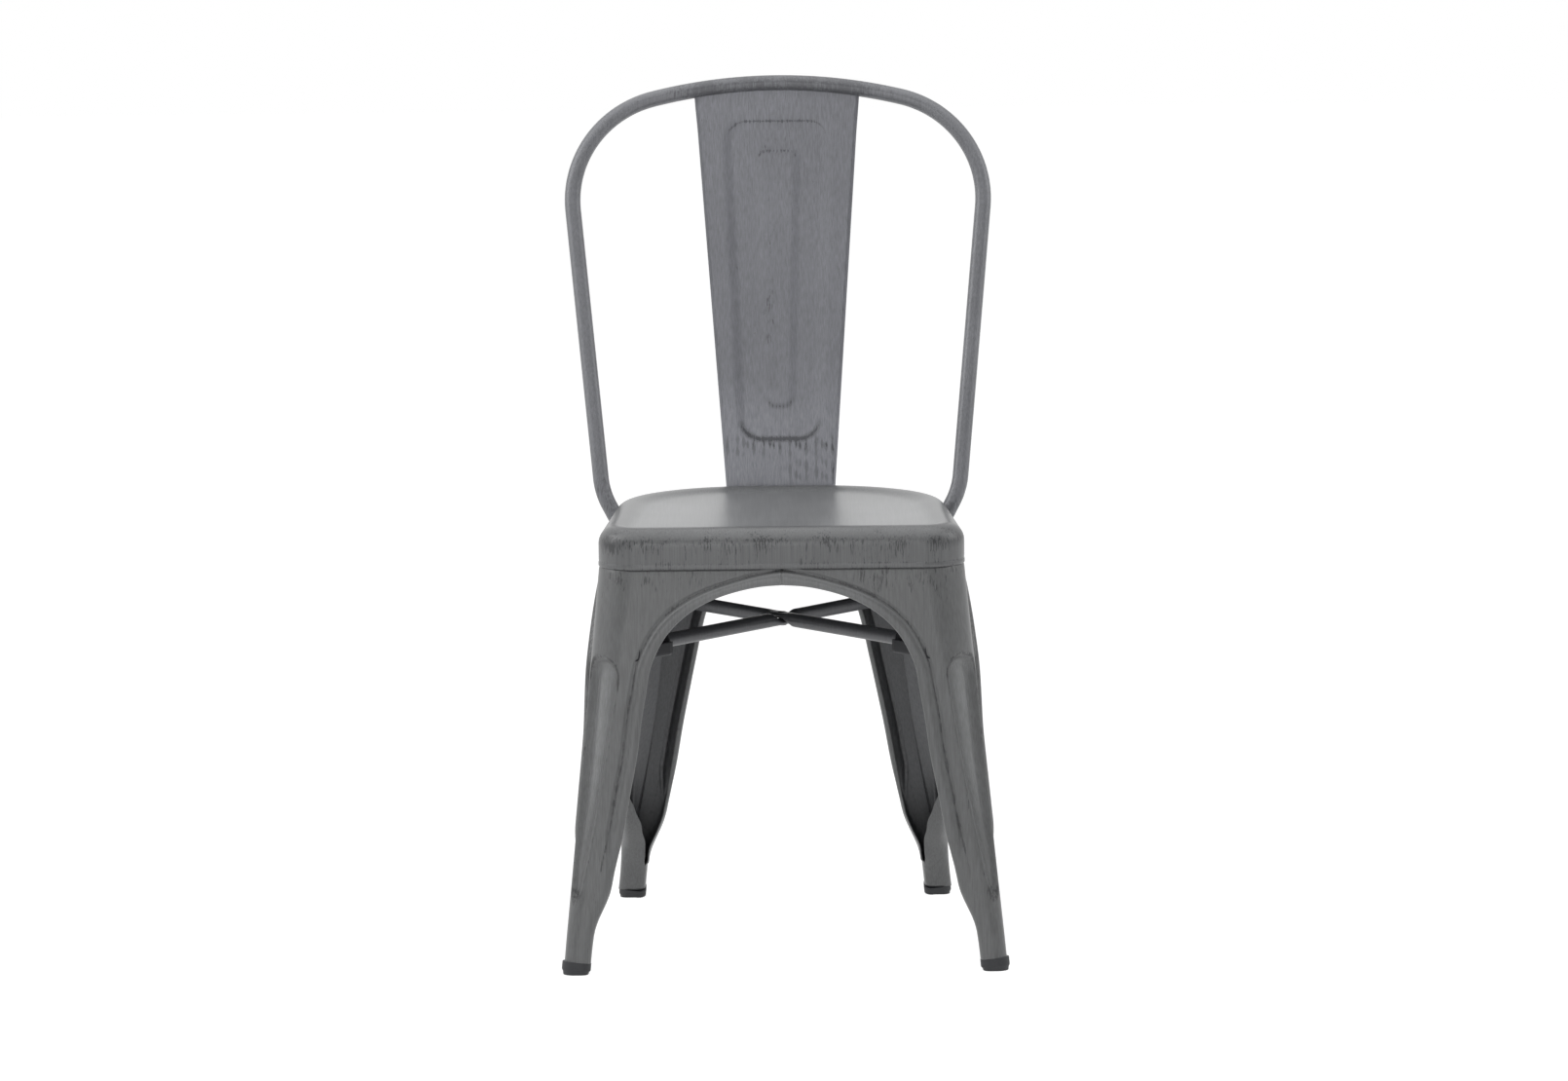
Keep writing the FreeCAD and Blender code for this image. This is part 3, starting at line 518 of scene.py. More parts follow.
def fold_path(level):
    """Folded edge of a wing, from its tip outwards, as (distance from the edge, depth behind the sheet)."""
    bend = read_table(FLANGE_BEND, level)
    tip = read_table(FLANGE_END, level)
    reach = max(read_table(FLANGE, level) - bend - tip, 0.2)
    curl = CURL * smooth((level - CURL_START) / CURL_EASE)
    line = []
    for k in range(9):
        angle = math.radians(90.0 * k / 8)
        line.append((bend - bend * math.sin(angle), bend - bend * math.cos(angle)))
    for k in range(1, 5):
        line.append((curl * reach * (k / 4) ** 1.6, bend + reach * k / 4))
    back = line[-1][0]
    for k in range(1, 5):
        angle = math.radians(45.0 * k / 4)
        line.append((back + tip - tip * math.cos(angle), bend + reach + tip * math.sin(angle)))
    return line[::-1]


# Rows of the leg's mesh up to the haunch, up to where the arch turns over, and along the arch
LOW_ROWS, MID_ROWS, TOP_ROWS = 112, 44, 66
# Columns over the edge, over the plain sheet, and by the corner line or the skirt
EDGE_COLUMNS, SHEET_COLUMNS, NEAR_COLUMNS = 26, 16, 30
NEAR_WIDTH, NEAR_SHARE = 42.0, 0.78
FOOT_LOW, WING_LOW, HAUNCH = 9.0, 12.0, 262.0
ARCH_TURN, REAR_ARCH_TURN = 352.0, 340.0
SKIN_TOP, COLLAR_TOP = SKIRT + 2.5, 419.0
# The sheet steps in under the seat's skirt
STEP_IN, STEP_LEVEL, STEP_EASE = 1.3, 396.6, 4.0
# The front legs flare out along the top of the side arch
FLARE, FLARE_WIDTH = 2.8, 26.0
# The folded edges meet below this level, where the leg closes into its foot
CLOSED, CLOSE_EASE = 38.0, 5.0
EVEN_ROLL = even(ROLL, EDGE_COLUMNS)


def edge_and_far(curve, corner, is_front, on_face, row):
    """Ends of one row of a wing: its point on the free edge, and the point that it runs to."""
    total = curve[1][-1]
    haunch_run = run_at_level(curve, HAUNCH)
    turn_run = run_at_level(curve, ARCH_TURN if is_front or not on_face else REAR_ARCH_TURN)
    if row <= LOW_ROWS:
        level = FOOT_LOW + (HAUNCH - FOOT_LOW) * row / LOW_ROWS
        across = at_run(curve, run_at_level(curve, max(level, WING_LOW)))[0]
        if level < WING_LOW:
            front, rear = (FRONT_HALF, REAR_HALF) if on_face else (FRONT_LINE, REAR_LINE)
            pair = front if is_front else rear
            across += between(pair, level) - between(pair, WING_LOW)
        edge_level = level
        far = (0.0, level)
    elif row <= LOW_ROWS + MID_ROWS:
        share = (row - LOW_ROWS) / MID_ROWS
        across, edge_level = at_run(curve, haunch_run + (turn_run - haunch_run) * share)
        far = (0.0, HAUNCH + (SKIN_TOP - HAUNCH) * share)
    else:
        share = (row - LOW_ROWS - MID_ROWS) / TOP_ROWS
        across, edge_level = at_run(curve, turn_run + (total - turn_run) * share)
        far = (corner.run_of(0.0 if on_face else SEAM, SKIN_TOP, on_face) * share, SKIN_TOP)
    return (corner.run_of(across, edge_level, on_face), edge_level), far


def row_stops(edge_level, length, fade, squeeze, rolled):
    """Stops along one row, as (distance from the edge, height off the sheet)."""
    stops = []
    for (d, h), (back, deep) in zip(EVEN_ROLL, even(fold_path(edge_level), EDGE_COLUMNS)):
        d *= squeeze
        h *= fade if h > 0 else max(fade, LEAST_CURL)
        stops.append((back + (d - back) * rolled, (h + deep) * rolled - deep))
    roll_end = stops[-1][0]
    near = min(NEAR_WIDTH, (length - roll_end) * NEAR_SHARE)
    for k in range(1, SHEET_COLUMNS + 1):
        stops.append((roll_end + (length - near - roll_end) * k / SHEET_COLUMNS, 0.0))
    for k in range(1, NEAR_COLUMNS + 1):
        stops.append((length - near + near * k / NEAR_COLUMNS, 0.0))
    return stops


def wing_rows(is_front, on_face):
    """One wing of the right leg as rows of (place, glaze and painted light), from the free edge to the corner
    line.
    """
    corner = Corner(is_front)
    curve = spline(wing_edge(is_front, on_face))
    rows = []
    for i in range(LOW_ROWS + MID_ROWS + TOP_ROWS + 1):
        edge, far = edge_and_far(curve, corner, is_front, on_face, i)
        edge_level = edge[1]
        length = math.dist(edge, far)
        way = ((far[0] - edge[0]) / length, (far[1] - edge[1]) / length)
        fade = read_table(ROLL_FADE, edge_level)
        squeeze = min(1.0, (length - 0.6) / ROLL[-1][0])
        rolled = smooth((edge_level - ROLL_START) / ROLL_EASE)
        row = []
        for k, (d, h) in enumerate(row_stops(edge_level, length, fade, squeeze, rolled)):
            run, level = edge[0] + way[0] * d, edge[1] + way[1] * d
            flare = 0.0
            if is_front and not on_face:
                flare = smooth((edge_level - 225.0) / 70.0) * smooth((398.0 - level) / 16.0)
            lift = h + FLARE * flare * smooth((30.0 - d) / FLARE_WIDTH)
            lift -= drop_depth(run, level) + STEP_IN * smooth((level - STEP_LEVEL) / STEP_EASE)
            spot = corner.place(run, level) + corner.out(run, level) * lift
            # darker round the drop's edge, most at its round top; painted shade in the groove behind the
            # roll, under the seat and on the flare's edge; a dark scuff at the drop's tip
            inside = drop_inside(run, level)
            mark = 1.7 * close_to(inside, -1.6, 1.7) * smooth((level - 265.0) / 40.0)
            mark += 0.55 * close_to(inside, -1.6, 1.8)
            mark += 1.5 * close_to(d / squeeze, 14.9, 1.4) * fade
            mark += 0.6 * smooth((level - 352.0) / 40.0) * smooth((d - 17.0) / 5.0)
            mark += 1.6 * flare * smooth((16.0 - d) / 6.0)
            mark += close_to(level, 78.0, 9.0) * smooth((14.0 - abs(run)) / 6.0)
            if mark < 0.3:
                # painted highlights: paler inside the drop, on the roll over the arch and on the bend above
                # the rear foot
                mark -= 0.85 * smooth(inside / 9.0) * smooth((level - 110.0) / 120.0)
                if not is_front and not on_face:
                    mark -= close_to(k, 18.0, 3.5) * (1.0 - rolled) * smooth((edge_level - 48.0) / 20.0)
                mark -= 0.4 * smooth((13.0 * squeeze - d) / 3.0) * smooth((edge_level - 350.0) / 25.0)
            row.append((spot, min(mark, 2.0)))
        rows.append(row)
    return rows


def close_foot(face_rows, side_rows):
    """Draw the folded edges of both wings together at the foot."""
    for face, side in zip(face_rows, side_rows):
        close = smooth((CLOSED - face[0][0].z) / CLOSE_EASE)
        if close <= 0.0:
            continue
        middle = face[0][0].lerp(side[0][0], 0.5)
        for row in (face, side):
            gap = middle - row[0][0]
            for k in range(EDGE_COLUMNS):
                share = (1.0 - k / (EDGE_COLUMNS - 1)) ** 1.5 * close
                row[k] = (row[k][0] + gap * share, row[k][1])


def leg_mesh(is_front):
    """Outer skin of the right leg: both wings share the corner line."""
    face_rows, side_rows = wing_rows(is_front, True), wing_rows(is_front, False)
    close_foot(face_rows, side_rows)
    points = []

    def add(line):
        start = len(points)
        points.extend(line)
        return list(range(start, len(points)))

    width = len(face_rows[0])
    shared = LOW_ROWS + MID_ROWS
    joined = []
    for face, side in zip(face_rows[:shared + 1], side_rows):
        corner_line = (face[-1][0].lerp(side[-1][0], 0.5), face[-1][1])
        joined.append(add(face[:-1] + [corner_line] + list(reversed(side[:-1]))))
    fan_face, fan_side = [joined[-1][:width]], [joined[-1][width - 1:]]
    for face, side in zip(face_rows[shared + 1:], side_rows[shared + 1:]):
        fan_face.append(add(face))
        fan_side.append(add(reversed(side)))
    # collar up inside the seat skirt
    rim = [row[-1] for row in fan_face[::-1]] + [row[0] for row in fan_side[1:]]
    collar = add([(Vector((points[i][0].x, points[i][0].y, COLLAR_TOP)), 0.0) for i in rim])
    faces = grid_faces(joined) + grid_faces(fan_face) + grid_faces(fan_side) + grid_faces([rim, collar])
    return [tuple(p) for p, mark in points], faces, [mark for p, mark in points]


# the inner face of each leg sheet takes the darker inside lacquer: painted shade
for is_front, end in ((True, "front"), (False, "rear")):
    points, faces, glaze = leg_mesh(is_front)
    make_pair(end, "leg_skin", "leg", points, outward(points, faces, (0.0, -40.0, 200.0)), LEG_LACQUER,
              "brushed_sheet", thick=SHEET, smooth_angle=50.0, glaze=glaze, inside=SHADED_INSIDE_LACQUER)


def rounded_loop(corners, rounds, arc_steps, line_steps):
    """Closed loop through straight sides and rounded corners."""
    count = len(corners)
    arcs = []
    for i, here in enumerate(corners):
        before = (corners[i - 1] - here).normalized()
        after = (corners[(i + 1) % count] - here).normalized()
        half = before.angle(after) / 2.0
        reach = rounds[i] / math.tan(half)
        centre = here + (before + after).normalized() * (rounds[i] / math.sin(half))
        first = here + before * reach - centre
        turn = math.pi - 2.0 * half
        spin = 1.0 if first.y * before.x - first.x * before.y > 0.0 else -1.0
        arc = []
        for k in range(arc_steps + 1):
            angle = spin * turn * k / arc_steps
            c, s = math.cos(angle), math.sin(angle)
            arc.append(centre + Vector((first.x * c - first.y * s, first.x * s + first.y * c)))
        arcs.append(arc)
    loop = []
    for i, arc in enumerate(arcs):
        loop += arc
        goal = arcs[(i + 1) % count][0]
        loop += [arc[-1].lerp(goal, k / line_steps) for k in range(1, line_steps)]
    return loop


# Rubber caps, as rings of (level, growth over the foot, share of the foot's slant), with a level pad below
CAP_RINGS = [(0.0, -2.6, 0.0), (0.0, -1.6, 0.0), (0.7, -1.1, 0.0), (2.2, -0.9, 0.1), (2.9, -0.6, 0.3),
             (3.6, -0.1, 0.6), (4.4, 0.4, 0.8), (5.2, 0.5, 1.0), (11.0, 0.5, 1.0), (11.7, 0.3, 1.0),
             (12.0, 0.0, 1.0), (12.0, -1.0, 1.0)]
# The caps grow less to the front and rear, so that they stay inside the chair's depth
CAP_GROWTH_DEEP, CAP_CORNER = 0.15, 13.0


def cap_mesh(is_front):
    corner = Corner(is_front)
    sign = 1.0 if is_front else -1.0
    base = corner.shape(0.0)[0]
    lean = (corner.shape(KNEE)[0] - base) / KNEE
    foot = FRONT_FOOT if is_front else FOOT
    mid = base + Vector((-foot / 2.0, sign * FOOT / 2.0))
    rings = []
    for level, grow, tilt in CAP_RINGS:
        shift = lean * level
        grow_deep = min(grow, CAP_GROWTH_DEEP)
        outer = base + shift + Vector((grow, -sign * grow_deep))
        side, across = FOOT + grow + grow_deep, foot + 2.0 * grow
        inner, back = Vector((-across, 0.0)), Vector((0.0, sign * side))
        loop = rounded_loop([outer, outer + inner, outer + inner + back, outer + back],
                            [CAP_CORNER + grow] + [FOOT_BEND + grow] * 3, 12, 5)
        ring = []
        for spot in loop:
            away = spot - mid - shift
            ring.append((spot.x, spot.y, level - tilt * (lean.x * away.x + lean.y * away.y)))
        rings.append(ring)
    points, faces = rows_mesh(rings, closed=True, ends=True)
    return points, outward(points, faces, (mid.x, mid.y, 5.0))


for is_front, end in ((True, "front"), (False, "rear")):
    points, faces = cap_mesh(is_front)
    make_pair(end, "cap_moulding", "foot_cap", points, faces, RUBBER, "foot_rubber")


# Seat pan
SEAT_FRONT, SEAT_REAR, SEAT_FRONT_HALF, SEAT_REAR_HALF = -225.5, 129.5, 183.6, 158.8
SEAT_FRONT_ROUND, SEAT_REAR_ROUND, SEAT_LEAST_ROUND = 42.0, 125.0, 8.0
SEAT_TOP, SEAT_ROLL, SEAT_DISH = 439.5, 18.5, 435.2
SEAT_MIDDLE = (0.0, -46.0)
# Shares of the dish's outline for its inner rings
DISH_RINGS = (0.93, 0.85, 0.75, 0.62, 0.48, 0.34, 0.2, 0.08)


def seat_outline(inset):
    """Rounded outline of the seat, drawn in by an inset."""
    front, rear = SEAT_FRONT + inset, SEAT_REAR - inset
    fall = (SEAT_FRONT_HALF - SEAT_REAR_HALF) / (SEAT_REAR - SEAT_FRONT)
    lean = math.hypot(1.0, fall)
    wide = SEAT_FRONT_HALF - inset * lean - fall * inset
    slim = SEAT_REAR_HALF - inset * lean + fall * inset
    corners = [Vector((wide, front)), Vector((slim, rear)), Vector((-slim, rear)), Vector((-wide, front))]
    tight = max(SEAT_FRONT_ROUND - inset, SEAT_LEAST_ROUND)
    rear_round = SEAT_REAR_ROUND - 0.25 * inset
    return rounded_loop(corners, [tight, rear_round, rear_round, tight], 26, 34)


def seat_profile():
    """Across the seat edge as (inset, level): from under the skirt over the roll, then down to the dish."""
    hem = [(1.7, 399.6), (0.8, 399.0), (0.1, 399.2), (-0.25, 400.0), (-0.3, 401.4), (-0.25, 402.8),
           (0.0, 403.7), (0.2, 404.4), (0.1, 405.4)]
    wall = [(0.0, level) for level in (407.0, 410.0, 413.0, 416.0, 419.0)]
    roll = []
    for k in range(0, 19):
        angle = math.radians(90.0 * k / 18)
        roll.append((SEAT_ROLL - SEAT_ROLL * math.cos(angle),
                     SEAT_TOP - SEAT_ROLL + SEAT_ROLL * math.sin(angle)))
    dip = [(20.4, 439.44), (22.8, 439.1), (25.2, 438.5), (27.4, 437.75), (29.6, 436.95), (31.8, 436.2),
           (34.4, 435.6), (37.4, 435.3), (40.6, SEAT_DISH)]
    return hem + wall + roll, dip


def seat_glaze(x, z, past_edge):
    """Dark glaze on the roll, the skirt and the hem, and a painted reflection that makes the panel paler, in
    rings past its edge.
    """
    if past_edge > 0:
        # painted reflection of the pale room: the panel paler
        return -0.85 * smooth(past_edge / 7.0)
    mark = close_to(z, 424.0, 9.0) * (0.5 + 0.5 * close_to(abs(x), 168.0, 16.0))
    mark += 0.4 * smooth((439.3 - z) / 5.0)
    mark += 0.8 * close_to(z, 399.2, 0.9) + 0.5 * close_to(z, 404.5, 0.8)
    return min(mark, 2.0)


def seat_mesh():
    rim, dip = seat_profile()
    panel_edge = len(rim)
    rings = [[(p.x, p.y, level) for p in seat_outline(inset)] for inset, level in rim + dip]
    edge = rings[-1]
    middle_x, middle_y = SEAT_MIDDLE
    for share in DISH_RINGS:
        rings.append([(middle_x + (x - middle_x) * share, middle_y + (y - middle_y) * share, SEAT_DISH)
                      for x, y, z in edge])
    glaze = [seat_glaze(x, z, number - panel_edge) for number, ring in enumerate(rings) for x, y, z in ring]
    points, faces = rows_mesh(rings, closed=True)
    count = len(edge)
    tip = len(points)
    points.append((middle_x, middle_y, SEAT_DISH))
    glaze.append(seat_glaze(middle_x, SEAT_DISH, len(rings) - panel_edge))
    faces += [(tip - count + i, tip - count + (i + 1) % count, tip) for i in range(count)]
    return points, outward(points, faces, (middle_x, middle_y, 300.0)), glaze


points, faces, glaze = seat_mesh()
# the seat's underside takes the darker inside lacquer: painted shade
make_piece("seat_pan_pressing", points, faces, SEAT_LACQUER, "brushed_sheet", ["seat_pan"],
           thick=SHEET, smooth_angle=60.0, glaze=glaze, inside=SHADED_INSIDE_LACQUER)


# Hoop
HOOP_CROWN, HOOP_LOW = Vector((0.0, 182.0, 842.0)), Vector((0.0, 52.0, 446.0))
HOOP_TUBE = 8.0
# Bends as (radius, degrees), from the crown down, and the levels at which the straights below them end
CROWN_BEND, SHOULDER_BEND, ANKLE_BEND = (520.0, 14.0), (108.0, 81.4), (75.0, 22.0)
HOOP_ARM_END, HOOP_END = 456.0, 379.0
# The ends are pressed thinner, wider and outwards, over the levels below this one
PRESS_LEVEL, PRESS_EASE = 418.0, 34.0
PRESS_THIN, PRESS_WIDE, PRESS_OUT = 3.6, 3.2, 3.2


def hoop_runs():
    """Right half of the hoop's centre line as (place, direction), and the upward direction of its plane."""
    up = (HOOP_CROWN - HOOP_LOW).normalized()
    line = []
    spot, heading = HOOP_CROWN.copy(), 0.0

    def way(angle):
        return Vector((math.cos(angle), 0, 0)) - up * math.sin(angle)

    def inward(angle):
        return Vector((-math.sin(angle), 0, 0)) - up * math.cos(angle)

    def arc(bend, degrees, steps):
        nonlocal spot, heading
        centre = spot + inward(heading) * bend
        for k in range(1, steps + 1):
            angle = heading + math.radians(degrees) * k / steps
            line.append((centre - inward(angle) * bend, way(angle)))
        heading += math.radians(degrees)
        spot = line[-1][0]

    def straight(level, steps):
        nonlocal spot
        length = (spot.z - level) / (up.z * math.sin(heading))
        start = spot.copy()
        for k in range(1, steps + 1):
            line.append((start + way(heading) * (length * k / steps), way(heading)))
        spot = line[-1][0]

    line.append((spot.copy(), way(0.0)))
    arc(*CROWN_BEND, 16)
    arc(*SHOULDER_BEND, 40)
    straight(HOOP_ARM_END, 30)
    arc(*ANKLE_BEND, 14)
    straight(HOOP_END, 14)
    return line, up


def hoop_mesh():
    """Bent tube whose ends are pressed flat against the legs."""
    half, up = hoop_runs()
    normal = Vector((1, 0, 0)).cross(up).normalized()
    left = [(Vector((-p.x, p.y, p.z)), Vector((w.x, -w.y, -w.z))) for p, w in reversed(half[1:])]
    rings, glaze = [], []
    for spot, way in left + half:
        # painted shade along the crown, and darker strokes at the lower ends
        mark = 1.5 * smooth((150.0 - abs(spot.x)) / 80.0) * smooth((spot.z - 800.0) / 30.0)
        mark += 0.7 * smooth((490.0 - spot.z) / 50.0)
        glaze += [mark] * RING
        pressed = smooth((PRESS_LEVEL - spot.z) / PRESS_EASE)
        hand = 1.0 if spot.x > 0 else -1.0
        rings.append(oval(spot + Vector((hand * PRESS_OUT * pressed, 0, 0)), normal.cross(way).normalized(),
                          normal, HOOP_TUBE - PRESS_THIN * pressed, HOOP_TUBE + PRESS_WIDE * pressed))
    points, faces = rows_mesh(rings, closed=True, ends=True)
    return points, tube_faces(points, faces), glaze


points, faces, glaze = hoop_mesh()
make_piece("back_hoop_tube", points, faces, TUBE_LACQUER, "painted_tube", ["back_hoop"], glaze=glaze)


# Splat
SPLAT_LOW, SPLAT_TOP, SPLAT_RISE = 404.0, 835.9, 433.0
SPLAT_HALF_LOW, SPLAT_HALF_TOP = 53.0, 83.5
SPLAT_BACK, SPLAT_BEND, SPLAT_EASE = 130.3, 428.0, 14.0
SPLAT_LEAN = math.tan(math.radians(6.6))
SPLAT_COLUMNS, SPLAT_ROWS = 150, 300
# The long edges are turned back a little, and the top follows the hoop's crown
SPLAT_TURN, SPLAT_TURN_WIDTH = 2.2, 2.6
CROWN_FROM, CROWN_EASE = 790.0, 40.0
# Pressings as low end, high end, half width at each and corner radius, then height
PANEL, PANEL_SUNK, PANEL_EDGE = (484.0, 804.0, 39.0, 51.5, 20.0), 1.0, 6.5
RIB, RIB_RAISED, RIB_EDGE = (517.0, 774.0, 12.5, 19.5, 9.0), 0.6, 5.5


def splat_back(level):
    """Depth at which the splat stands: upright at its foot, then leaning back."""
    if level < SPLAT_BEND - SPLAT_EASE:
        return SPLAT_BACK
    if level > SPLAT_BEND + SPLAT_EASE:
        return SPLAT_BACK + (level - SPLAT_BEND) * SPLAT_LEAN
    f = (level - SPLAT_BEND + SPLAT_EASE) / (2 * SPLAT_EASE)
    return SPLAT_BACK + SPLAT_LEAN * SPLAT_EASE * f * f


def box_inside(x, level, low, high, half_low, half_high, bend):
    """Distance inside a tapered rounded box, negative outside."""
    part = (level - low) / (high - low)
    half = half_low + (half_high - half_low) * part
    dx = abs(x) - (half - bend)
    dz = abs(level - (low + high) / 2.0) - ((high - low) / 2.0 - bend)
    return bend - (math.hypot(max(dx, 0.0), max(dz, 0.0)) + min(max(dx, dz), 0.0))


def splat_lift(panel, rib):
    """Height of the pressed pattern: a sunk panel with a raised rib in it."""
    sunk = PANEL_SUNK * smooth((panel + PANEL_EDGE) / (2.0 * PANEL_EDGE))
    return RIB_RAISED * smooth((rib + RIB_EDGE) / (2.0 * RIB_EDGE)) - sunk


def splat_glaze(x, level, panel, rib):
    """Painted shade at the ends of the pressings, in short ticks at the rib, and dark glaze brushed about at
    the foot.
    """
    panel_end = smooth((abs(level - 644.0) - 138.0) / 16.0)
    rib_end = smooth((abs(level - 645.5) - 118.0) / 8.0)
    ticks = 0.5 + 0.5 * math.cos(x * 2.0 * math.pi / 3.6)
    low = level < 600.0
    mark = close_to(panel, 0.0, 2.1 if low else 1.7) * (2.0 if low else 1.5) * panel_end
    mark += close_to(rib, 0.0, 1.8) * 1.8 * rib_end * ticks
    # two rows of strokes at the foot, the lower one only to the right, where single bristles show
    bristles = (math.cos(x * 2.0 * math.pi / 5.3 + 0.8) + math.cos(x * 2.0 * math.pi / 8.9)
                + 0.7 * math.cos(level / 2.6 + x / 4.0))
    bristles = smooth((bristles - 0.3) / 1.1)
    mark += 1.25 * close_to(level, 477.0, 8.0) * bristles
    mark += 1.1 * close_to(level, 452.0, 9.0) * smooth((x + 10.0) / 30.0) * bristles
    # a faint line down the rib and a few strokes under the panel's top
    mark += 0.7 * close_to(x, -9.0, 5.0) * smooth((760.0 - level) / 60.0) * smooth((level - 520.0) / 60.0)
    mark += 0.4 * close_to(level, 788.0, 6.0) * smooth((20.0 - abs(x)) / 8.0)
    # painted light from the seat below: the foot of the splat paler
    mark -= 0.75 * smooth((590.0 - level) / 130.0) * (1.0 - smooth(mark / 0.9))
    return min(mark, 2.0)


def splat_mesh():
    rows, glaze = [], []
    for i in range(SPLAT_ROWS + 1):
        level = SPLAT_LOW + (SPLAT_TOP - SPLAT_LOW) * i / SPLAT_ROWS
        half = SPLAT_HALF_LOW + (SPLAT_HALF_TOP - SPLAT_HALF_LOW) * (level - SPLAT_LOW) / SPLAT_RISE
        row = []
        for k in range(SPLAT_COLUMNS + 1):
            x = half * (-1.0 + 2.0 * k / SPLAT_COLUMNS)
            turn = SPLAT_TURN * (1.0 - smooth((half - abs(x)) / SPLAT_TURN_WIDTH))
            fall = 0.95 * x * x / (2.0 * (CROWN_BEND[0] - HOOP_TUBE))
            z = level - fall * smooth((level - CROWN_FROM) / CROWN_EASE)
            panel, rib = box_inside(x, z, *PANEL), box_inside(x, z, *RIB)
            row.append((x, splat_back(z) - splat_lift(panel, rib) + turn, z))
            glaze.append(splat_glaze(x, z, panel, rib))
        rows.append(row)
    points, faces = rows_mesh(rows)
    return points, outward(points, faces, (0.0, 400.0, 600.0)), glaze


points, faces, glaze = splat_mesh()
make_piece("back_splat_pressing", points, faces, SPLAT_LACQUER, "brushed_sheet", ["back_splat"],
           thick=SPLAT_SHEET, smooth_angle=60.0, glaze=glaze)


# Crossed brace: where it crosses, its level, how far its tubes reach sideways, and their slant
CROSSING, BRACE_LEVEL = -26.5, 323.2
BRACE_FRONT, BRACE_REAR, BRACE_SLANT = 117.0, 103.0, 0.75
BRACE_TUBE = 7.0
# The tubes are pinched flat near the crossing, and pass above and below each other
PINCH_HALF, PINCH_EASE = 9.0, 13.0
PINCH_LOW, PINCH_WIDE, PASS = 3.8, 2.6, 3.3


def brace_mesh(sign, upper):
    """Tube pinched flat where it crosses the other."""
    rise = Vector((0, 0, 1))
    front = Vector((sign * BRACE_FRONT, CROSSING - BRACE_FRONT / BRACE_SLANT, BRACE_LEVEL))
    rear = Vector((-sign * BRACE_REAR, CROSSING + BRACE_REAR / BRACE_SLANT, BRACE_LEVEL))
    way = (rear - front).normalized()
    side = rise.cross(way).normalized()
    length = (rear - front).length
    middle = (Vector((0, CROSSING, BRACE_LEVEL)) - front).length
    steps = 120
    rings = []
    for i in range(steps + 1):
        run = length * i / steps
        pinch = 1.0 - smooth((abs(run - middle) - PINCH_HALF) / PINCH_EASE)
        lift = (PASS if upper else -PASS) * pinch
        rings.append(oval(front + way * run + rise * lift, side, rise,
                          BRACE_TUBE + PINCH_WIDE * pinch, BRACE_TUBE - PINCH_LOW * pinch))
    points, faces = rows_mesh(rings, closed=True, ends=True)
    return points, tube_faces(points, faces)


# the brace takes the darker lacquer: painted shade under the seat
for name, sign, upper in (("upper_brace_tube", 1.0, True), ("lower_brace_tube", -1.0, False)):
    points, faces = brace_mesh(sign, upper)
    make_piece(name + "_pinched", points, faces, SHADED_BRACE_LACQUER, "painted_tube", [name])


# Brackets, as pressed channels: half width, level of the bottom, corner radius and levels of the lips
BRACKET_HALF, BRACKET_BOTTOM, BRACKET_BEND = 9.0, 309.2, 3.6
BRACKET_LIP, BRACKET_TOP = 322.0, 323.0
BRACKET_START_FRONT, BRACKET_START_REAR = 115.5, 100.0
WALL_CLEAR = 1.5


def wall_run(start, way, level, is_front):
    """How far a line runs at a level before it meets the inside of the leg."""
    tip, face_way, side_way, bend, reach, turn, middle, centre = Corner(is_front).shape(level)
    low, high = 0.0, 140.0
    for _ in range(26):
        run = (low + high) / 2.0
        spot = Vector((abs(start.x + way.x * run), start.y + way.y * run))
        away = spot - centre
        a, b = -away.dot(face_way), -away.dot(side_way)
        if a > 0.0 and b > 0.0:
            off = away.length
        else:
            off = b if a <= 0.0 else a
        if off < bend - WALL_CLEAR:
            low = run
        else:
            high = run
    return low


def bracket_mesh(sign, is_front):
    """Pressed channel under a tube end, from the tube to the inside of the leg."""
    y_way = -1.0 if is_front else 1.0
    begin = BRACKET_START_FRONT if is_front else BRACKET_START_REAR
    way = Vector((sign * 0.6, y_way * 0.8, 0.0))
    start = Vector((sign * begin, CROSSING + y_way * begin / BRACE_SLANT, 0.0))
    side = Vector((0.0, 0.0, 1.0)).cross(way)
    bend_x, bend_z = BRACKET_HALF - BRACKET_BEND, BRACKET_BOTTOM + BRACKET_BEND
    section = [(-BRACKET_HALF + 0.1, BRACKET_TOP), (-BRACKET_HALF, BRACKET_LIP)]
    for middle, first in ((-bend_x, 180.0), (bend_x, 270.0)):
        for k in range(7):
            angle = math.radians(first + 90.0 * k / 6)
            section.append((middle + BRACKET_BEND * math.cos(angle), bend_z + BRACKET_BEND * math.sin(angle)))
    section += [(BRACKET_HALF, BRACKET_LIP), (BRACKET_HALF - 0.1, BRACKET_TOP)]
    lines = []
    for across, level in section:
        base = start + side * across
        length = wall_run(base, way, level, is_front)
        spots = [base + way * (length * k / 12) for k in range(13)]
        lines.append([(spot.x, spot.y, level) for spot in spots])
    return rows_mesh(lines)


# the brackets take the nearly black lacquer: painted shade
for sign, hand in ((1.0, "right"), (-1.0, "left")):
    for is_front, end in ((True, "front"), (False, "rear")):
        points, faces = bracket_mesh(sign, is_front)
        first = points[faces[len(faces) // 2][0]]
        make_piece(end + "_" + hand + "_bracket_channel", points,
                   outward(points, faces, (first[0], first[1], 330.0)), SHADED_DARK_LACQUER, "dark_fittings",
                   [end + "_" + hand + "_brace_bracket"], thick=BRACKET_SHEET, smooth_angle=60.0)


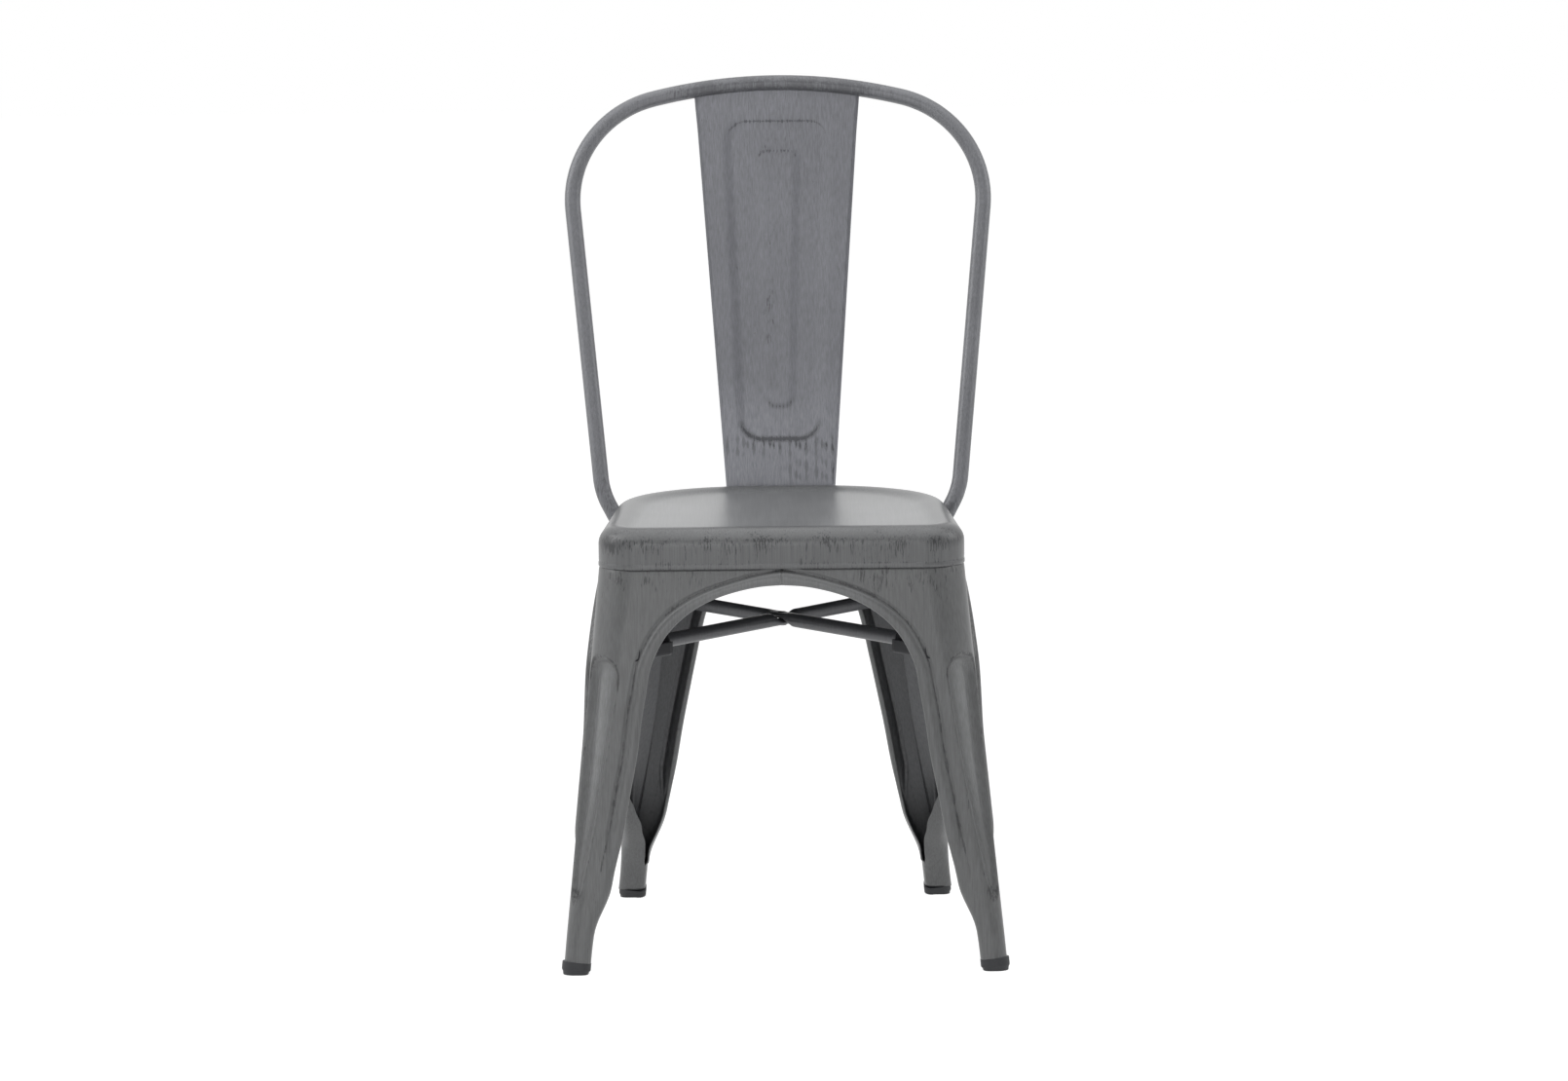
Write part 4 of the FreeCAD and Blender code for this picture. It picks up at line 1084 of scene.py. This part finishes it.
# Rivet through the crossing, as (level, radius): low domed heads above and below the pinched tubes
RIVET = [(315.8, 0.6), (315.9, 2.2), (316.2, 3.8), (316.7, 4.6), (317.6, 4.7), (317.8, 3.0),
         (328.4, 3.0), (328.6, 4.7), (329.4, 4.6), (329.8, 3.8), (330.0, 2.2), (330.1, 0.6)]
ACROSS, BACK = Vector((1, 0, 0)), Vector((0, 1, 0))
points, faces = rows_mesh([oval(Vector((0, CROSSING, level)), ACROSS, BACK, radius, radius)
                           for level, radius in RIVET], closed=True, ends=True)
# the rivet heads take the nearly black lacquer: painted shade
make_piece("brace_rivet_heads", points, outward(points, faces, (0.0, CROSSING, 322.0)), SHADED_DARK_LACQUER,
           "dark_fittings", ["brace_rivet"], smooth_angle=35.0)

# Seam strips keep their frame shape, in the nearly black fittings lacquer that paints shade
for name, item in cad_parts.items():
    if item.hide_render:
        continue
    item.data.materials.clear()
    item.data.materials.append(SHADED_DARK_LACQUER)
    edge = item.modifiers.new("soft edge", "BEVEL")
    edge.width = 0.35 * MM
    edge.segments = 2
    edge.limit_method = "ANGLE"
    edge.angle_limit = math.radians(40.0)


# Floor, light and camera
def studio_paper():
    """Matt white studio paper: pure white to the eye, with the chair's faint shadow kept."""
    material = bpy.data.materials.new("white studio paper")
    tree = empty_tree(material)
    path = node(tree, "LightPath")
    seen = node(tree, "Math", {"operation": "MAXIMUM"},
                {0: path.outputs["Is Camera Ray"], 1: path.outputs["Is Glossy Ray"]})
    seen = node(tree, "Math", {"operation": "MAXIMUM"}, {0: seen, 1: path.outputs["Is Transmission Ray"]})
    paper = node(tree, "BsdfDiffuse", {"Color": linear("#f2f2f2")})
    faint = node(tree, "BsdfDiffuse", {"Color": linear("#959595")})
    glow = node(tree, "Emission", {"Color": WHITE, "Strength": 0.9})
    white = node(tree, "AddShader", None, {0: faint, 1: glow})
    both = node(tree, "MixShader", None, {0: seen, 1: paper, 2: white})
    node(tree, "OutputMaterial", None, {0: both})
    return material


floor_mesh = bpy.data.meshes.new("floor")
floor_mesh.from_pydata([(-9, -6, 0), (9, -6, 0), (9, 9, 0), (-9, 9, 0)], [], [(0, 1, 2, 3)])
floor = bpy.data.objects.new("floor", floor_mesh)
bpy.context.scene.collection.objects.link(floor)
floor_mesh.materials.append(studio_paper())

# A plain room, darker behind the camera, and the white paper that the eye sees round the chair
world = bpy.data.worlds.new("studio")
bpy.context.scene.world = world
tree = empty_tree(world)
facing = node(tree, "SeparateXYZ", None, {0: node(tree, "TexCoord").outputs["Generated"]})
near_wall = node(tree, "MapRange", {1: -0.2, 2: -0.8, 3: 1.0, 4: 0.35}, {0: facing.outputs[1]})
right_wall = node(tree, "MapRange", {1: 0.3, 2: 0.9, 3: 1.0, 4: 0.7}, {0: facing})
walls = node(tree, "Math", {"operation": "MULTIPLY"}, {0: near_wall, 1: right_wall})
room = node(tree, "Background", {"Color": WHITE, "Strength": 0.34})
around = node(tree, "Background", {"Color": WHITE}, {1: walls})
paper = node(tree, "Background", {"Color": WHITE, "Strength": 1.0})
path = node(tree, "LightPath")
mirror = node(tree, "MixShader", None, {0: path.outputs["Is Glossy Ray"], 1: room, 2: around})
seen = node(tree, "Math", {"operation": "MAXIMUM"},
            {0: path.outputs["Is Camera Ray"], 1: path.outputs["Is Transmission Ray"]})
both = node(tree, "MixShader", None, {0: seen, 1: mirror, 2: paper})
node(tree, "OutputWorld", None, {0: both})


def soft_light(name, place, aim, wide, power):
    """Square softbox that the camera doesn't see."""
    data = bpy.data.lights.new(name, "AREA")
    data.shape = "SQUARE"
    data.size = wide
    data.energy = power
    lamp = bpy.data.objects.new(name, data)
    lamp.location = place
    lamp.visible_camera = False
    lamp.rotation_euler = (Vector(aim) - Vector(place)).to_track_quat("-Z", "Y").to_euler()
    bpy.context.scene.collection.objects.link(lamp)


MID_CHAIR = (0, 0, 0.45)
soft_light("overhead softbox", (-0.2, -0.4, 3.2), (0, 0, 0.3), 4.6, 64.0)
soft_light("left softbox", (-2.7, -0.1, 2.0), MID_CHAIR, 1.8, 23.0)
soft_light("right softbox", (2.9, 0.1, 1.9), MID_CHAIR, 1.8, 17.0)
soft_light("front softbox", (-0.5, -4.0, 1.2), MID_CHAIR, 1.8, 21.0)
soft_light("rear softbox", (0.0, 4.2, 1.5), MID_CHAIR, 2.2, 4.0)

camera_data = bpy.data.cameras.new("camera")
camera_data.sensor_width = 36.0
camera_data.lens = 261.9
camera_data.clip_end = 60.0
camera = bpy.data.objects.new("camera", camera_data)
eye = Vector((0.0026, -11.3445, 1.8815))
aim = Vector((0.0026, -0.0445, 0.4038))
turn = (aim - eye).to_track_quat("-Z", "Y").to_matrix().to_4x4()
roll = Matrix.Rotation(math.radians(-0.6), 4, "Z")
camera.matrix_world = Matrix.Translation(eye) @ turn @ roll
bpy.context.scene.collection.objects.link(camera)
bpy.context.scene.camera = camera

bpy.context.scene.view_settings.view_transform = "Standard"
